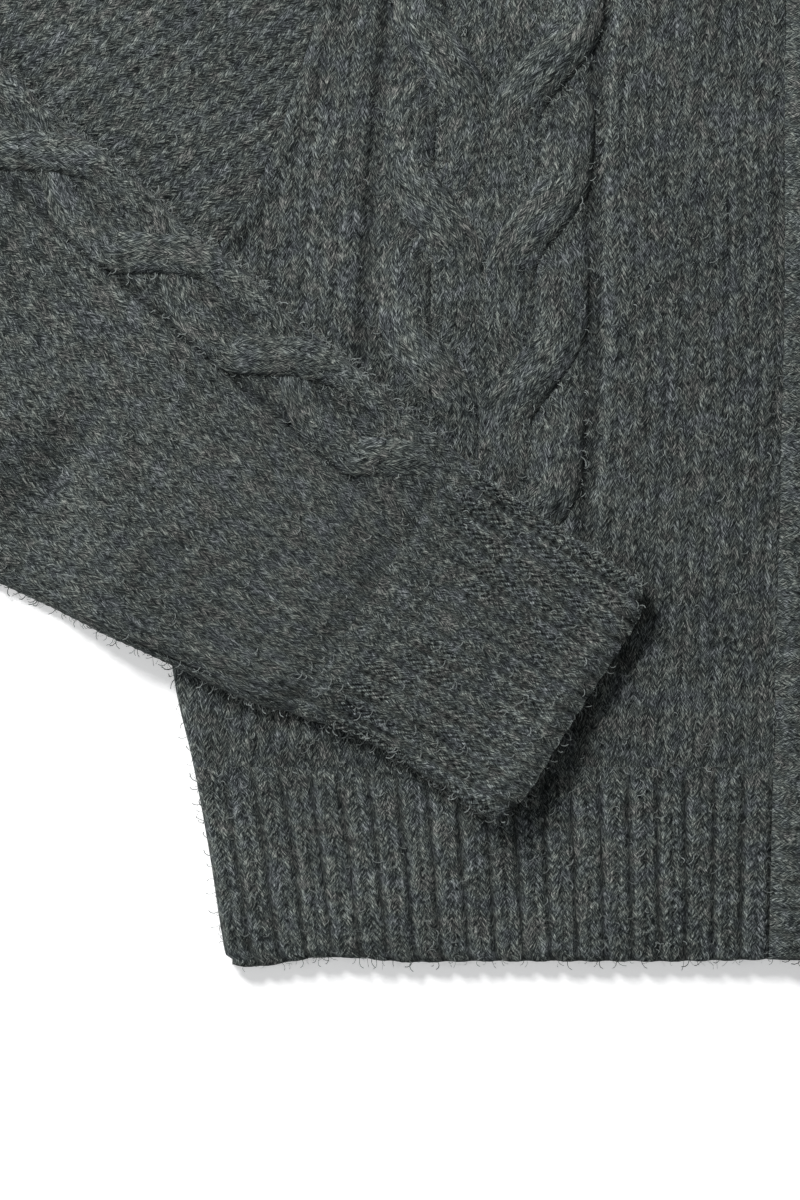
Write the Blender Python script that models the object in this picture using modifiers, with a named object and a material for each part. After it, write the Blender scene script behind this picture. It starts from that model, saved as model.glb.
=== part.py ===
"""Cable knit cardigan, laid flat on its back with both sleeves folded over the front.

Metres, +Z up. The back lies on Z = 0, the hem is towards -Y and the neck towards +Y. X = 0 is the
middle of the garment, and "right" is the wearer's right, at -X. The origin is under the middle.
"""

import bpy
import bmesh
from math import asin, cos, pi, radians, sin

# Cloth
WALL = 0.003            # knitted fabric
GAP = 0.0003            # clearance at each seam and between layers that touch
CURVED_GAP = 0.0005     # the same at seams that curve, measured along X
EDGE_ROUND = 0.0009     # rounding of a panel's edges

# Body
BODY_LENGTH = 0.565     # hem to the top of the neckband
RIB_HEIGHT = 0.0695     # hem rib
SHOULDER_TIP = (0.180, 0.508)
NECK_POINT = (0.080, 0.545)
NECK_DROP = 0.020       # middle of the back neckline below the neck points
BAND_WIDTH = 0.044      # button band, and the band round the neck
NECKBAND_TOP_HALF = 0.0415

# Half width of the body at heights above the hem: side seam, then armhole
SIDE = [
    # height, half width
    (0.0000, 0.2095),
    (0.0025, 0.2138),
    (0.0090, 0.2170),
    (0.0360, 0.2215),
    (RIB_HEIGHT, 0.2260),
    (0.1080, 0.2365),
    (0.1700, 0.2408),
    (0.2342, 0.2420),
]
ARMHOLE = [
    # height, half width
    (0.2342, 0.2420),
    (0.2680, 0.2130),
    (0.2900, 0.2020),
    (0.3200, 0.1915),
    (0.3456, 0.1843),
    (0.4100, 0.1785),
    (0.5080, 0.1800),
]
# Seam between each front and its band, and where it turns into the V neck
RIGHT_SEAM = [
    # height, x
    (0.0000, -0.0227),
    (0.0936, -0.0205),
    (0.1656, -0.0187),
    (0.2556, -0.0169),
    (0.3550, -0.0169),
    (0.4050, -0.0290),
    (0.5450, -0.0800),
]
LEFT_SEAM = [
    # height, x
    (0.0000, 0.0275),
    (0.0936, 0.0297),
    (0.1656, 0.0315),
    (0.2556, 0.0333),
    (0.3550, 0.0333),
    (0.4050, 0.0405),
    (0.5450, 0.0800),
]
# Lift of the right band over the left one, across its width
BAND_STEP = [
    # across, lift
    (0.0000, 0.0000),
    (0.0010, 0.0000),
    (0.0055, 0.0033),
    (0.0160, 0.0033),
    (0.0300, 0.0033),
    (0.0440, 0.0033),
]
OVERLAP_ENDS = (0.445, 0.500)    # heights between which the right band comes down again

# Sleeve, flat, measured from the end of the cuff up the arm
CUFF_MIDDLE = (0.0933, 0.0913)   # middle of the cuff's end: distance from X = 0, height above hem
SLEEVE_ANGLE = radians(33.0)     # the arm's line below the horizontal, both ways from the crease
CUFF_LENGTH = 0.0830
UNDERARM = 0.4210                # length of the underarm seam
CREASE_X = 0.3697                # outermost line of the fold, parallel to the front edge
FOLD_RADIUS = 0.0045             # middle of the sleeve at the fold
SLIT = 0.0006                    # space inside the flat sleeve
CAP_CLEAR = 0.0030               # the rounded underarm fold stays this far off the side seam
SLEEVE_WIDTH = [
    # up the arm, to the top fold, to the underarm seam
    (0.0000, 0.0500, 0.0500),
    (0.0500, 0.0518, 0.0510),
    (0.0830, 0.0540, 0.0562),
    (0.1200, 0.0585, 0.0632),
    (0.2000, 0.0690, 0.0742),
    (0.3400, 0.0870, 0.0925),
    (0.4210, 0.0970, 0.1030),
    (0.5000, 0.1005, 0.1030),
    (0.5600, 0.1005, 0.1030),
    (0.6000, 0.0970, 0.1030),
    (0.6217, 0.0931, 0.1030),
]
SAG_START = 0.012       # how far past its support the folded arm starts to sink
SAG_REACH = 0.034       # and over what distance it comes down
SETTLE_REACH = 0.030    # beyond the fold, where the arm comes down to rest

# Buttons
BUTTON_COUNT = 6
BUTTON_RADIUS = 0.010
BUTTON_THICK = 0.0034
BUTTON_FIRST = 0.020
BUTTON_LAST = 0.345
BUTTON_X = 0.0005
HOLE_RADIUS = 0.0011
HOLE_SPREAD = 0.0022

# Mesh steps
SIDE_STEPS = 5
ARMHOLE_STEPS = 9
ARMHOLE_CROWDING = 1.2
PANEL_STEPS = 8
NECK_STEPS = 8
SHOULDER_STEPS = 4
FOREARM_STEPS = 15
UPPER_ARM_STEPS = 8
FOLD_STEPS = 6
RIM_STEPS = 4

LAYER = WALL + GAP
TUBE = 2 * WALL + SLIT
BOTTOM, TOP = 0, 1

GREY_WOOL = ("heather_grey_wool", (0.068, 0.077, 0.075, 1.0), 0.92)
HORN = ("dark_horn", (0.030, 0.026, 0.022, 1.0), 0.35)


def clear_scene():
    for obj in list(bpy.data.objects):
        bpy.data.objects.remove(obj, do_unlink=True)


def make_collection():
    collection = bpy.data.collections.new("cable_knit_cardigan")
    bpy.context.scene.collection.children.link(collection)
    return collection


def make_material(name, colour, roughness):
    material = bpy.data.materials.new(name)
    material.use_nodes = True
    shader = material.node_tree.nodes["Principled BSDF"]
    shader.inputs["Base Color"].default_value = colour
    shader.inputs["Roughness"].default_value = roughness
    shader.inputs["Metallic"].default_value = 0.0
    return material


def smooth_step(value):
    value = min(max(value, 0.0), 1.0)
    return value * value * (3 - 2 * value)


def read(table, place, column=1):
    """The table's column at this place in its first one, on a smooth curve through its rows."""
    rows = [(row[0], row[column]) for row in table]
    place = min(max(place, rows[0][0]), rows[-1][0])
    index = max(i for i in range(len(rows) - 1) if i == 0 or rows[i][0] <= place)
    (x0, y0), (x1, y1) = rows[index], rows[index + 1]

    def slope(i):
        if i in (0, len(rows) - 1):
            return None
        before = (rows[i][1] - rows[i - 1][1]) / (rows[i][0] - rows[i - 1][0])
        after = (rows[i + 1][1] - rows[i][1]) / (rows[i + 1][0] - rows[i][0])
        return 0.0 if before * after <= 0 else 2 * before * after / (before + after)

    chord = (y1 - y0) / (x1 - x0)
    start = slope(index) if slope(index) is not None else chord
    end = slope(index + 1) if slope(index + 1) is not None else chord
    t = (place - x0) / (x1 - x0)
    return (y0 * (1 + 2 * t) * (1 - t) ** 2 + y1 * t * t * (3 - 2 * t)
            + (x1 - x0) * (start * t * (1 - t) ** 2 - end * t * t * (1 - t)))


def steps(first, last, count):
    return [first + (last - first) * k / count for k in range(count + 1)]


def blend(a, b, t):
    return tuple(p + (q - p) * t for p, q in zip(a, b))


def patch(left, right, bottom, top):
    """Rows of points that fill the outline made by four edges (a Coons patch)."""
    across, up = len(bottom) - 1, len(left) - 1
    rows = []
    for j in range(up + 1):
        v = j / up
        row = []
        for i in range(across + 1):
            u = i / across
            ruled = blend(left[j], right[j], u)
            lofted = blend(bottom[i], top[i], v)
            corners = blend(blend(bottom[0], bottom[-1], u), blend(top[0], top[-1], u), v)
            row.append(tuple(a + b - c for a, b, c in zip(ruled, lofted, corners)))
        rows.append(row)
    return rows


def add_surface(name, rows, closed_across=False):
    """A surface of four-sided faces through the rows, lying face up."""
    mesh = bpy.data.meshes.new(name)
    work = bmesh.new()
    verts = [[work.verts.new(point) for point in row] for row in rows]
    for lower, upper in zip(verts, verts[1:]):
        count = len(lower) if closed_across else len(lower) - 1
        for i in range(count):
            k = (i + 1) % len(lower)
            work.faces.new((lower[i], lower[k], upper[k], upper[i]))
    bmesh.ops.recalc_face_normals(work, faces=work.faces)
    if not closed_across and sum(face.normal.z for face in work.faces) < 0:
        bmesh.ops.reverse_faces(work, faces=work.faces)
    work.to_mesh(mesh)
    work.free()
    return bpy.data.objects.new(name, mesh)


def add_cloth(collection, material, name, rows):
    """A cloth panel: the rows are its underside, and its wall stands on them."""
    rows = [[(x, y - BODY_LENGTH / 2, z) for x, y, z in row] for row in rows]
    panel = add_surface(name, rows)
    panel.data.materials.append(material)
    wall = panel.modifiers.new("wall", "SOLIDIFY")
    wall.thickness = WALL
    wall.offset = 1.0
    wall.use_even_offset = True
    edges = panel.modifiers.new("edges", "BEVEL")
    edges.width = EDGE_ROUND
    edges.segments = 1
    edges.limit_method = "ANGLE"
    edges.angle_limit = radians(50)
    collection.objects.link(panel)
    panel.data.shade_smooth()
    panel.data.set_sharp_from_angle(angle=radians(40))
    return panel


def add_tube(collection, material, name, rings):
    """A flattened sleeve: each ring runs round the middle of its wall."""
    rings = [[(x, y - BODY_LENGTH / 2, z) for x, y, z in ring] for ring in rings]
    tube = add_surface(name, rings, closed_across=True)
    tube.data.materials.append(material)
    wall = tube.modifiers.new("wall", "SOLIDIFY")
    wall.thickness = WALL
    wall.offset = 0.0
    wall.use_even_offset = True
    collection.objects.link(tube)
    tube.data.shade_smooth()
    tube.data.set_sharp_from_angle(angle=radians(40))
    return tube


def flat_line(points, z):
    return [(x, y, z) for x, y in points]


def armhole_shares():
    """Places round the armhole from the underarm up, closer together where it turns most."""
    return [(k / ARMHOLE_STEPS) ** ARMHOLE_CROWDING for k in range(ARMHOLE_STEPS + 1)]


def side_heights():
    """Heights of the rows of a body panel: up the side seam, then round the armhole."""
    side = steps(RIB_HEIGHT + GAP, SIDE[-1][0], SIDE_STEPS)
    depth = ARMHOLE[-1][0] - ARMHOLE[0][0]
    return side, [ARMHOLE[0][0] + depth * share for share in armhole_shares()]


def side_edge():
    """Outer edge of a body panel, as half width and height."""
    side, arm = side_heights()
    points = [(read(SIDE, y), y) for y in side]
    return points + [(read(ARMHOLE, y), y) for y in arm[1:]]


def seam_edge(seam, first):
    """The seam of a front and its band, with a row for each row of the side."""
    heights = [y for _, y in side_edge()]
    share = [(y - heights[0]) / (heights[-1] - heights[0]) for y in heights]
    return [(read(seam, first + (NECK_POINT[1] - first) * s), first + (NECK_POINT[1] - first) * s)
            for s in share]


def neckline(count):
    """Back neckline from the right neck point to the left one, an arc through its middle."""
    half, drop = NECK_POINT[0], NECK_DROP
    radius = (half * half + drop * drop) / (2 * drop)
    swing = asin(half / radius)
    return [(radius * sin(a), NECK_POINT[1] - drop + radius * (1 - cos(a)))
            for a in steps(-swing, swing, count)]


def back_panel(collection, material):
    left = [(-x, y) for x, y in side_edge()]
    right = side_edge()
    y0 = RIB_HEIGHT + GAP
    count = NECK_STEPS + 2 * SHOULDER_STEPS
    tip, neck = SHOULDER_TIP, NECK_POINT
    slope = steps(0.0, 1.0, SHOULDER_STEPS)
    shoulder = [blend((-tip[0], tip[1]), (-neck[0], neck[1]), t) for t in slope]
    top = shoulder[:-1] + neckline(NECK_STEPS) + [(-x, y) for x, y in reversed(shoulder[:-1])]
    bottom = [(blend((left[0][0], y0), (right[0][0], y0), t)) for t in steps(0.0, 1.0, count)]
    z = 0.0
    rows = patch(flat_line(left, z), flat_line(right, z), flat_line(bottom, z), flat_line(top, z))
    add_cloth(collection, material, "back", rows)


def front_panel(collection, material, name, side, seam):
    y0 = RIB_HEIGHT + GAP
    outer = [(side * x, y) for x, y in side_edge()]
    inner = seam_edge(seam, y0)
    tip, neck = (side * SHOULDER_TIP[0], SHOULDER_TIP[1]), (side * NECK_POINT[0], NECK_POINT[1])
    bottom = [blend(outer[0], inner[0], t) for t in steps(0.0, 1.0, PANEL_STEPS)]
    top = [blend(tip, neck, t) for t in steps(0.0, 1.0, PANEL_STEPS)]
    edges = [flat_line(edge, LAYER) for edge in (outer, inner, bottom, top)]
    add_cloth(collection, material, name, patch(*edges))


def hem_ribs(collection, material):
    heights = [row[0] for row in SIDE if row[0] <= RIB_HEIGHT]
    rows = []
    for y in heights:
        half = read(SIDE, y)
        rows.append([(x, y, 0.0) for x in steps(-half, half, PANEL_STEPS * 2)])
    add_cloth(collection, material, "hem_rib_back", rows)
    for name, side, seam in (("hem_rib_right", -1, RIGHT_SEAM), ("hem_rib_left", 1, LEFT_SEAM)):
        rows = []
        for y in heights:
            row = steps(side * read(SIDE, y), read(seam, y), PANEL_STEPS)
            rows.append([(x, y, LAYER) for x in row])
        add_cloth(collection, material, name, rows)


def band(collection, material, name, seam, side, profile):
    """A button band from the hem to the neck point: it starts at its seam and ends at its free edge."""
    heights = steps(0.0, 0.340, 12) + steps(0.340, NECK_POINT[1], 12)[1:]
    top = heights[-1]
    rows = []
    for y in heights:
        ahead, behind = min(y + 0.002, top), max(y - 0.002, 0.0)
        lean = (read(seam, ahead) - read(seam, behind)) / (ahead - behind)
        length = (1 + lean * lean) ** 0.5
        off_x, off_y = -side / length, side * lean / length
        square = 1 - smooth_step(y / 0.01)      # the end at the hem is cut straight across
        off_y *= 1 - square
        start = read(seam, y) - side * CURVED_GAP, y
        rise = 1 - smooth_step((y - OVERLAP_ENDS[0]) / (OVERLAP_ENDS[1] - OVERLAP_ENDS[0]))
        rows.append([(start[0] + across * off_x, start[1] + across * off_y, LAYER + lift * rise)
                     for across, lift in profile])
    add_cloth(collection, material, name, rows)
    return rows[-1]


def neck_band(collection, material):
    """The band behind the neck: it stands up from the back neckline."""
    count = NECK_STEPS
    seam = [(x, y + GAP) for x, y in neckline(count)]
    ends_y = NECK_POINT[1] + 0.0135
    half, rise = NECKBAND_TOP_HALF, BODY_LENGTH - ends_y
    free = [(x, BODY_LENGTH - rise * (x / half) ** 2) for x in steps(-half, half, count)]
    left = [blend(seam[0], free[0], t) for t in steps(0.0, 1.0, 4)]
    right = [blend(seam[-1], free[-1], t) for t in steps(0.0, 1.0, 4)]
    rows = patch(*[flat_line(edge, 0.0) for edge in (left, right, seam, free)])
    add_cloth(collection, material, "neckband", rows)


def on_sleeve(along, across):
    """A point of the flat sleeve, as it would lie if the arm weren't folded: x from the middle, y."""
    c, s = cos(SLEEVE_ANGLE), sin(SLEEVE_ANGLE)
    return (-CUFF_MIDDLE[0] - along * c + across * s, CUFF_MIDDLE[1] + along * s + across * c)


def edge_point(edge, along):
    across = read(SLEEVE_WIDTH, along, 1) if edge == TOP else -read(SLEEVE_WIDTH, along, 2)
    return on_sleeve(along, across)


def along_at_x(edge, x):
    """How far up the arm its edge crosses this x."""
    low, high = 0.0, SLEEVE_WIDTH[-1][0]
    for _ in range(40):
        middle = (low + high) / 2
        if edge_point(edge, middle)[0] > x:
            low = middle
        else:
            high = middle
    return (low + high) / 2


def support_drop(x, y):
    """How far the folded arm sinks where neither the body nor the upper arm is under it."""
    body = -x - read(SIDE, y) if y < SIDE[-1][0] else 0.0
    underarm = (-SIDE[-1][1], SIDE[-1][0])
    fold_x, fold_y = -CREASE_X, edge_point(BOTTOM, along_at_x(BOTTOM, -CREASE_X))[1]
    run, rise = underarm[0] - fold_x, underarm[1] - fold_y
    below = ((x - fold_x) * rise - (y - fold_y) * run) / (run * run + rise * rise) ** 0.5
    away = min(body, below) - SAG_START
    return TUBE * smooth_step(away / SAG_REACH)


def folded(x, y, out):
    """Where a point of the flat sleeve lies once the arm is folded over at the crease."""
    middle = TUBE / 2
    centre = -CREASE_X + FOLD_RADIUS
    past = x - centre
    if past >= 0:
        rest = 1 - smooth_step(past / SETTLE_REACH)
        lift = middle + TUBE + GAP + rest * (2 * FOLD_RADIUS - TUBE - GAP)
        return x, y, lift + out - support_drop(x, y)
    turn = -past / FOLD_RADIUS
    if turn <= pi:
        reach = FOLD_RADIUS + out
        return centre - reach * sin(turn), y, middle + FOLD_RADIUS + reach * cos(turn)
    return centre + (turn - pi) * FOLD_RADIUS, y, middle - out


def sleeve_ring(bottom, top, shape=None):
    """A ring round the flat sleeve between its two edges; shape bends it along the sleeve cap."""
    half = (WALL + SLIT) / 2
    inset = TUBE / 2
    run = ((top[0] - bottom[0]) ** 2 + (top[1] - bottom[1]) ** 2) ** 0.5
    first, last = inset / run, 1 - inset / run

    def place(share):
        x, y = blend(bottom, top, share)
        return (x + shape(share), y) if shape else (x, y)

    shares = [min(max(share, first), last) for share in armhole_shares()]
    ring = [folded(*place(share), half) for share in shares]
    for a in steps(0.0, pi, RIM_STEPS)[1:-1]:
        ring.append(folded(*place(last + half * sin(a) / run), half * cos(a)))
    ring += [folded(*place(share), -half) for share in reversed(shares)]
    for a in steps(0.0, pi, RIM_STEPS)[1:-1]:
        ring.append(folded(*place(first - half * sin(a) / run), -half * cos(a)))
    return ring


def cap_shape(weight):
    """How far the armhole's curve bends away from the straight line between its ends."""
    (low, half), (high, tip) = ARMHOLE[0], ARMHOLE[-1]

    def shape(share):
        bend = read(ARMHOLE, low + (high - low) * share) - (half + (tip - half) * share)
        return (bend + CAP_CLEAR * (1 - share) ** 8) * weight

    return shape


def sleeve_rings():
    crease = -CREASE_X + FOLD_RADIUS
    parallel = [crease + SETTLE_REACH, crease + 0.018, crease + 0.008]
    parallel += [crease - FOLD_RADIUS * a for a in steps(0.0, pi, FOLD_STEPS)]
    parallel += [crease - pi * FOLD_RADIUS - 0.012]
    rings = []
    seam = CUFF_LENGTH + GAP
    first = [along_at_x(edge, parallel[0]) for edge in (BOTTOM, TOP)]
    for share in steps(0.0, 1.0, FOREARM_STEPS)[:-1]:
        low, high = (seam + (end - seam) * share for end in first)
        rings.append(sleeve_ring(edge_point(BOTTOM, low), edge_point(TOP, high)))
    for x in parallel:
        low, high = (along_at_x(edge, x) for edge in (BOTTOM, TOP))
        rings.append(sleeve_ring(edge_point(BOTTOM, low), edge_point(TOP, high)))
    span = 2 * crease - pi * FOLD_RADIUS
    underarm = span + ARMHOLE[0][1] + CURVED_GAP, ARMHOLE[0][0]
    tip = span + ARMHOLE[-1][1] + CURVED_GAP, ARMHOLE[-1][0]
    for share in steps(0.0, 1.0, UPPER_ARM_STEPS)[1:]:
        if share < 1:
            bottom = edge_point(BOTTOM, low + (UNDERARM - low) * share)
            top = edge_point(TOP, high + (SLEEVE_WIDTH[-1][0] - high) * share)
        else:
            bottom, top = underarm, tip
        rings.append(sleeve_ring(bottom, top, cap_shape(share * share)))
    return rings


def cuff_rings():
    ends = steps(0.0, CUFF_LENGTH, 6)
    return [sleeve_ring(edge_point(BOTTOM, s), edge_point(TOP, s)) for s in ends]


def mirrored(rings):
    return [[(-x, y, z) for x, y, z in ring] for ring in rings]


def button_mesh():
    """A flat four-hole button with rounded rims."""
    work = bmesh.new()
    bmesh.ops.create_cone(work, cap_ends=True, segments=20, radius1=BUTTON_RADIUS,
                          radius2=BUTTON_RADIUS, depth=BUTTON_THICK)
    mesh = bpy.data.meshes.new("button")
    work.to_mesh(mesh)
    work.free()
    cutters = bmesh.new()
    for k in range(4):
        made = bmesh.ops.create_cone(cutters, cap_ends=True, segments=6, radius1=HOLE_RADIUS,
                                     radius2=HOLE_RADIUS, depth=BUTTON_THICK * 2)
        turn = pi / 4 + k * pi / 2
        shift = (HOLE_SPREAD * cos(turn), HOLE_SPREAD * sin(turn), 0.0)
        bmesh.ops.translate(cutters, verts=made["verts"], vec=shift)
    holes = bpy.data.meshes.new("button_holes")
    cutters.to_mesh(holes)
    cutters.free()
    return mesh, holes


def buttons(collection, material):
    mesh, holes = button_mesh()
    mesh.materials.append(material)
    helpers = bpy.data.collections.new("cutters")
    bpy.context.scene.collection.children.link(helpers)
    z = 2 * LAYER + WALL + GAP + BUTTON_THICK / 2
    for k, y in enumerate(steps(BUTTON_FIRST, BUTTON_LAST, BUTTON_COUNT - 1)):
        place = (BUTTON_X, y - BODY_LENGTH / 2, z)
        button = bpy.data.objects.new(f"button_{k + 1}", mesh.copy())
        button.location = place
        cutter = bpy.data.objects.new(f"button_{k + 1}_holes", holes)
        cutter.location = place
        cutter.hide_render = True
        cutter.display_type = "WIRE"
        rim = button.modifiers.new("rim", "BEVEL")
        rim.width = 0.0008
        rim.segments = 1
        rim.limit_method = "ANGLE"
        rim.angle_limit = radians(60)
        drill = button.modifiers.new("drill", "BOOLEAN")
        drill.operation = "DIFFERENCE"
        drill.object = cutter
        collection.objects.link(button)
        helpers.objects.link(cutter)


def main():
    clear_scene()
    collection = make_collection()
    wool = make_material(*GREY_WOOL)
    horn = make_material(*HORN)
    back_panel(collection, wool)
    hem_ribs(collection, wool)
    front_panel(collection, wool, "front_right", -1, RIGHT_SEAM)
    front_panel(collection, wool, "front_left", 1, LEFT_SEAM)
    flat_profile = [(across, 0.0) for across, _ in BAND_STEP]
    band(collection, wool, "band_right", RIGHT_SEAM, -1, BAND_STEP)
    band(collection, wool, "band_left", LEFT_SEAM, 1, flat_profile)
    neck_band(collection, wool)
    sleeve, cuff = sleeve_rings(), cuff_rings()
    add_tube(collection, wool, "sleeve_right", sleeve)
    add_tube(collection, wool, "sleeve_left", mirrored(sleeve))
    add_tube(collection, wool, "cuff_right", cuff)
    add_tube(collection, wool, "cuff_left", mirrored(cuff))
    buttons(collection, horn)


main()
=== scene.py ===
from math import cos, pi, radians, sin

import bpy
import numpy as np
from mathutils import Matrix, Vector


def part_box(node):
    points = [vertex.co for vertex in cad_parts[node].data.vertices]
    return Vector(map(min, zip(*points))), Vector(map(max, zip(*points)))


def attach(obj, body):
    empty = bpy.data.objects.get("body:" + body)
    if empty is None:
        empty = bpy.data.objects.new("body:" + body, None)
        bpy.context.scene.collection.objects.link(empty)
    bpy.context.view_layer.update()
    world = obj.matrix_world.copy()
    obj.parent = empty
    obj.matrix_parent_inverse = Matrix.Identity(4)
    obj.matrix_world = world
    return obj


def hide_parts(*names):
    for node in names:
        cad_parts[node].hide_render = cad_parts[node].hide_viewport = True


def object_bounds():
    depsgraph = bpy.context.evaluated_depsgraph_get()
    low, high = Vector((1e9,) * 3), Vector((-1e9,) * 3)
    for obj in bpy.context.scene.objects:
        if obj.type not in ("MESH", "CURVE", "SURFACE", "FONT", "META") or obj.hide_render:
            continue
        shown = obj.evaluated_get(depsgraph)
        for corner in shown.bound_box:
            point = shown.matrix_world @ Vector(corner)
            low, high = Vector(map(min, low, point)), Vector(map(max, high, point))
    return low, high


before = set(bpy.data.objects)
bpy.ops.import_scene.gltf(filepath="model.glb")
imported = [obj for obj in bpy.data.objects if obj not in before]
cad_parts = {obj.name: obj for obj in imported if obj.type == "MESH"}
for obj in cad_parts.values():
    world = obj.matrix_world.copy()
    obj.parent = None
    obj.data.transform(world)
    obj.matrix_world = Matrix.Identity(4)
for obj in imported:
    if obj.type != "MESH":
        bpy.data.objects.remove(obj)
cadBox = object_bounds()

# Tables and sizes are in millimetres: x from the middle of the garment, h above the hem, z above the
# table. A mesh is turned into metres when it is made. "Right" is the wearer's right, at -x.
mm = 0.001
hemLevel = cadBox[0].y / mm


def cadTop(node):
    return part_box(node)[1].z / mm


def cadBottom(node):
    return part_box(node)[0].z / mm


layers = {
    "backTop": cadTop("back"),
    "frontBottom": cadBottom("front_right"),
    "frontTop": cadTop("front_right"),
}
garment = {
    "ribHeight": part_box("hem_rib_right")[1].y / mm - hemLevel,
    "shoulderTip": (180.0, 508.0),
    "neckPoint": (80.0, 545.0),
    "neckDrop": 20.0,
    "seamGap": 0.3,
    "hairline": 0.02,       # half of what is left open where two pieces are knitted into one
    "leastWall": 0.25,
    "seed": 7,
}
# Half width of the body at heights above the hem
sideRows = [
    (0.0, 216.0),
    (1.5, 218.3),
    (9.0, 219.8),
    (36.0, 223.9),
    (69.5, 230.0),
    (100.8, 237.0),
    (130.0, 240.3),
    (234.2, 242.0),
]
armholeRows = [
    (234.2, 242.0),
    (268.0, 213.0),
    (290.0, 202.0),
    (320.0, 191.5),
    (345.6, 184.3),
    (410.0, 178.5),
    (508.0, 180.0),
]
# Seam of each front and its band: height, x
rightSeamRows = [
    (0.0, -22.7),
    (93.6, -20.5),
    (165.6, -18.7),
    (255.6, -16.9),
    (355.0, -16.9),
    (405.0, -29.0),
    (545.0, -80.0),
]
leftSeamRows = [
    (0.0, 27.5),
    (93.6, 29.7),
    (165.6, 31.5),
    (255.6, 33.3),
    (355.0, 33.3),
    (405.0, 40.5),
    (545.0, 80.0),
]


def ease(value):
    value = np.clip(value, 0.0, 1.0)
    return value * value * (3 - 2 * value)


def bell(distance, width):
    return np.exp(-(distance / width) ** 2)


# 1 between two places and 0 outside them
def between(value, low, high, soft):
    return ease((value - low) / soft) * ease((high - value) / soft)


# 0 at whole turns and 1 half way between them
def swell(turns):
    return 0.5 - 0.5 * np.cos(2 * pi * turns)


# the table's value at a place, on a smooth curve through its rows
def readRows(rows, place, column=1):
    xs = np.array([row[0] for row in rows], float)
    ys = np.array([row[column] for row in rows], float)
    step = np.diff(xs)
    chord = np.diff(ys) / step
    before, after = chord[:-1], chord[1:]
    sameWay = before * after > 0
    slope = np.empty_like(ys)
    slope[0], slope[-1] = chord[0], chord[-1]
    slope[1:-1] = np.where(sameWay, 2 * before * after / np.where(sameWay, before + after, 1.0), 0.0)
    place = np.clip(place, xs[0], xs[-1])
    i = np.clip(np.searchsorted(xs, place, side="right") - 1, 0, len(xs) - 2)
    t = (place - xs[i]) / step[i]
    return (ys[i] * (1 + 2 * t) * (1 - t) ** 2 + ys[i + 1] * t * t * (3 - 2 * t)
            + step[i] * (slope[i] * t * (1 - t) ** 2 - slope[i + 1] * t * t * (1 - t)))


# smooth noise between -1 and 1 over a plane, with bumps about this size
def softNoise(x, y, size, seed):
    count = 64
    lattice = np.random.default_rng(seed).uniform(-1, 1, (count, count))
    gx, gy = np.asarray(x) / size, np.asarray(y) / size
    ix, iy = np.floor(gx).astype(int), np.floor(gy).astype(int)
    fx, fy = ease(gx - ix), ease(gy - iy)
    low = lattice[ix % count, iy % count] * (1 - fx) + lattice[(ix + 1) % count, iy % count] * fx
    high = lattice[ix % count, (iy + 1) % count] * (1 - fx)
    high = high + lattice[(ix + 1) % count, (iy + 1) % count] * fx
    return low * (1 - fy) + high * fy


# unevenness of one kind; its height and size are among the piece's values
def unevenness(values, kind, x, y, seed):
    return values[kind] * softNoise(x, y, values[kind + "Size"], garment["seed"] + seed)


skin = {
    "weld": 0.02,           # points nearer than this are one
    "leastFace": 0.004,     # twice the area of the smallest face kept
    "smallHole": 100,       # a ring of fewer points than this is a hole in the cloth, and is closed
    "rim": 0.8,             # how far the underside lies in from the edge
    "rimShare": 0.35,       # height of the rim's upright part, as a share of the whole
    # painted light on the rim: a negative shade that makes its yarn paler than its own colour
    "rimShade": -0.2,
    "underRows": 7,         # rows of the coarser underside of a band
    "sharp": radians(70.0),
}


# joins points that share a place, and drops faces that have shrunk to nothing
def weldedFaces(points, quads):
    keys = np.round(points / skin["weld"]).astype(np.int64)
    _, first, index = np.unique(keys, axis=0, return_index=True, return_inverse=True)
    index = index.reshape(-1)
    corners = index[quads]
    following = np.roll(corners, -1, axis=1)
    same = corners == following
    opposite = (corners[:, 0] == corners[:, 2]) | (corners[:, 1] == corners[:, 3])
    a, b, c, d = (points[quads[:, k]] for k in range(4))
    area = np.linalg.norm(np.cross(c - a, d - b), axis=1)
    good = (same.sum(axis=1) <= 1) & ~opposite & (area > skin["leastFace"])
    faces, loops = [], []
    for corner, merged, source in zip(corners[good], same[good], quads[good]):
        keep = [k for k in range(4) if not merged[k]]
        faces.append([corner[k] for k in keep])
        loops.append([source[k] for k in keep])
    return first, faces, loops


# which faces to keep, so that no two share a side the same way round and no border meets itself
def soundFaces(points, faces):
    sides = [(points[face[1]] - points[face[0]], points[face[-1]] - points[face[0]]) for face in faces]
    size = [round(float(np.linalg.norm(np.cross(*pair))), 6) for pair in sides]    # so that equals stay equal
    kept = set(range(len(faces)))
    while True:
        sides, dropped = {}, set()
        for number in sorted(kept, key=lambda number: (-size[number], number)):
            face = faces[number]
            own = [(start, face[(k + 1) % len(face)]) for k, start in enumerate(face)]
            if any(side in sides for side in own):
                dropped.add(number)
            else:
                sides.update((side, number) for side in own)
        starts = {}
        for start, end in sides:
            if (end, start) not in sides:
                starts[start] = starts.get(start, 0) + 1
        pinched = {start: [] for start, times in starts.items() if times > 1}
        for number in kept - dropped:
            for corner in pinched.keys() & set(faces[number]):
                pinched[corner].append(number)
        for near in pinched.values():
            fans, rest = [], set(near)
            while rest:
                fan = [rest.pop()]
                for here in fan:
                    joined = [other for other in rest if len(set(faces[here]) & set(faces[other])) > 1]
                    fan.extend(joined)
                    rest.difference_update(joined)
                fans.append(fan)
            fans.sort(key=lambda fan: sum(size[number] for number in fan))
            dropped.update(number for fan in fans[:-1] for number in fan)
        if not dropped:
            return sorted(kept)
        kept -= dropped


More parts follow.
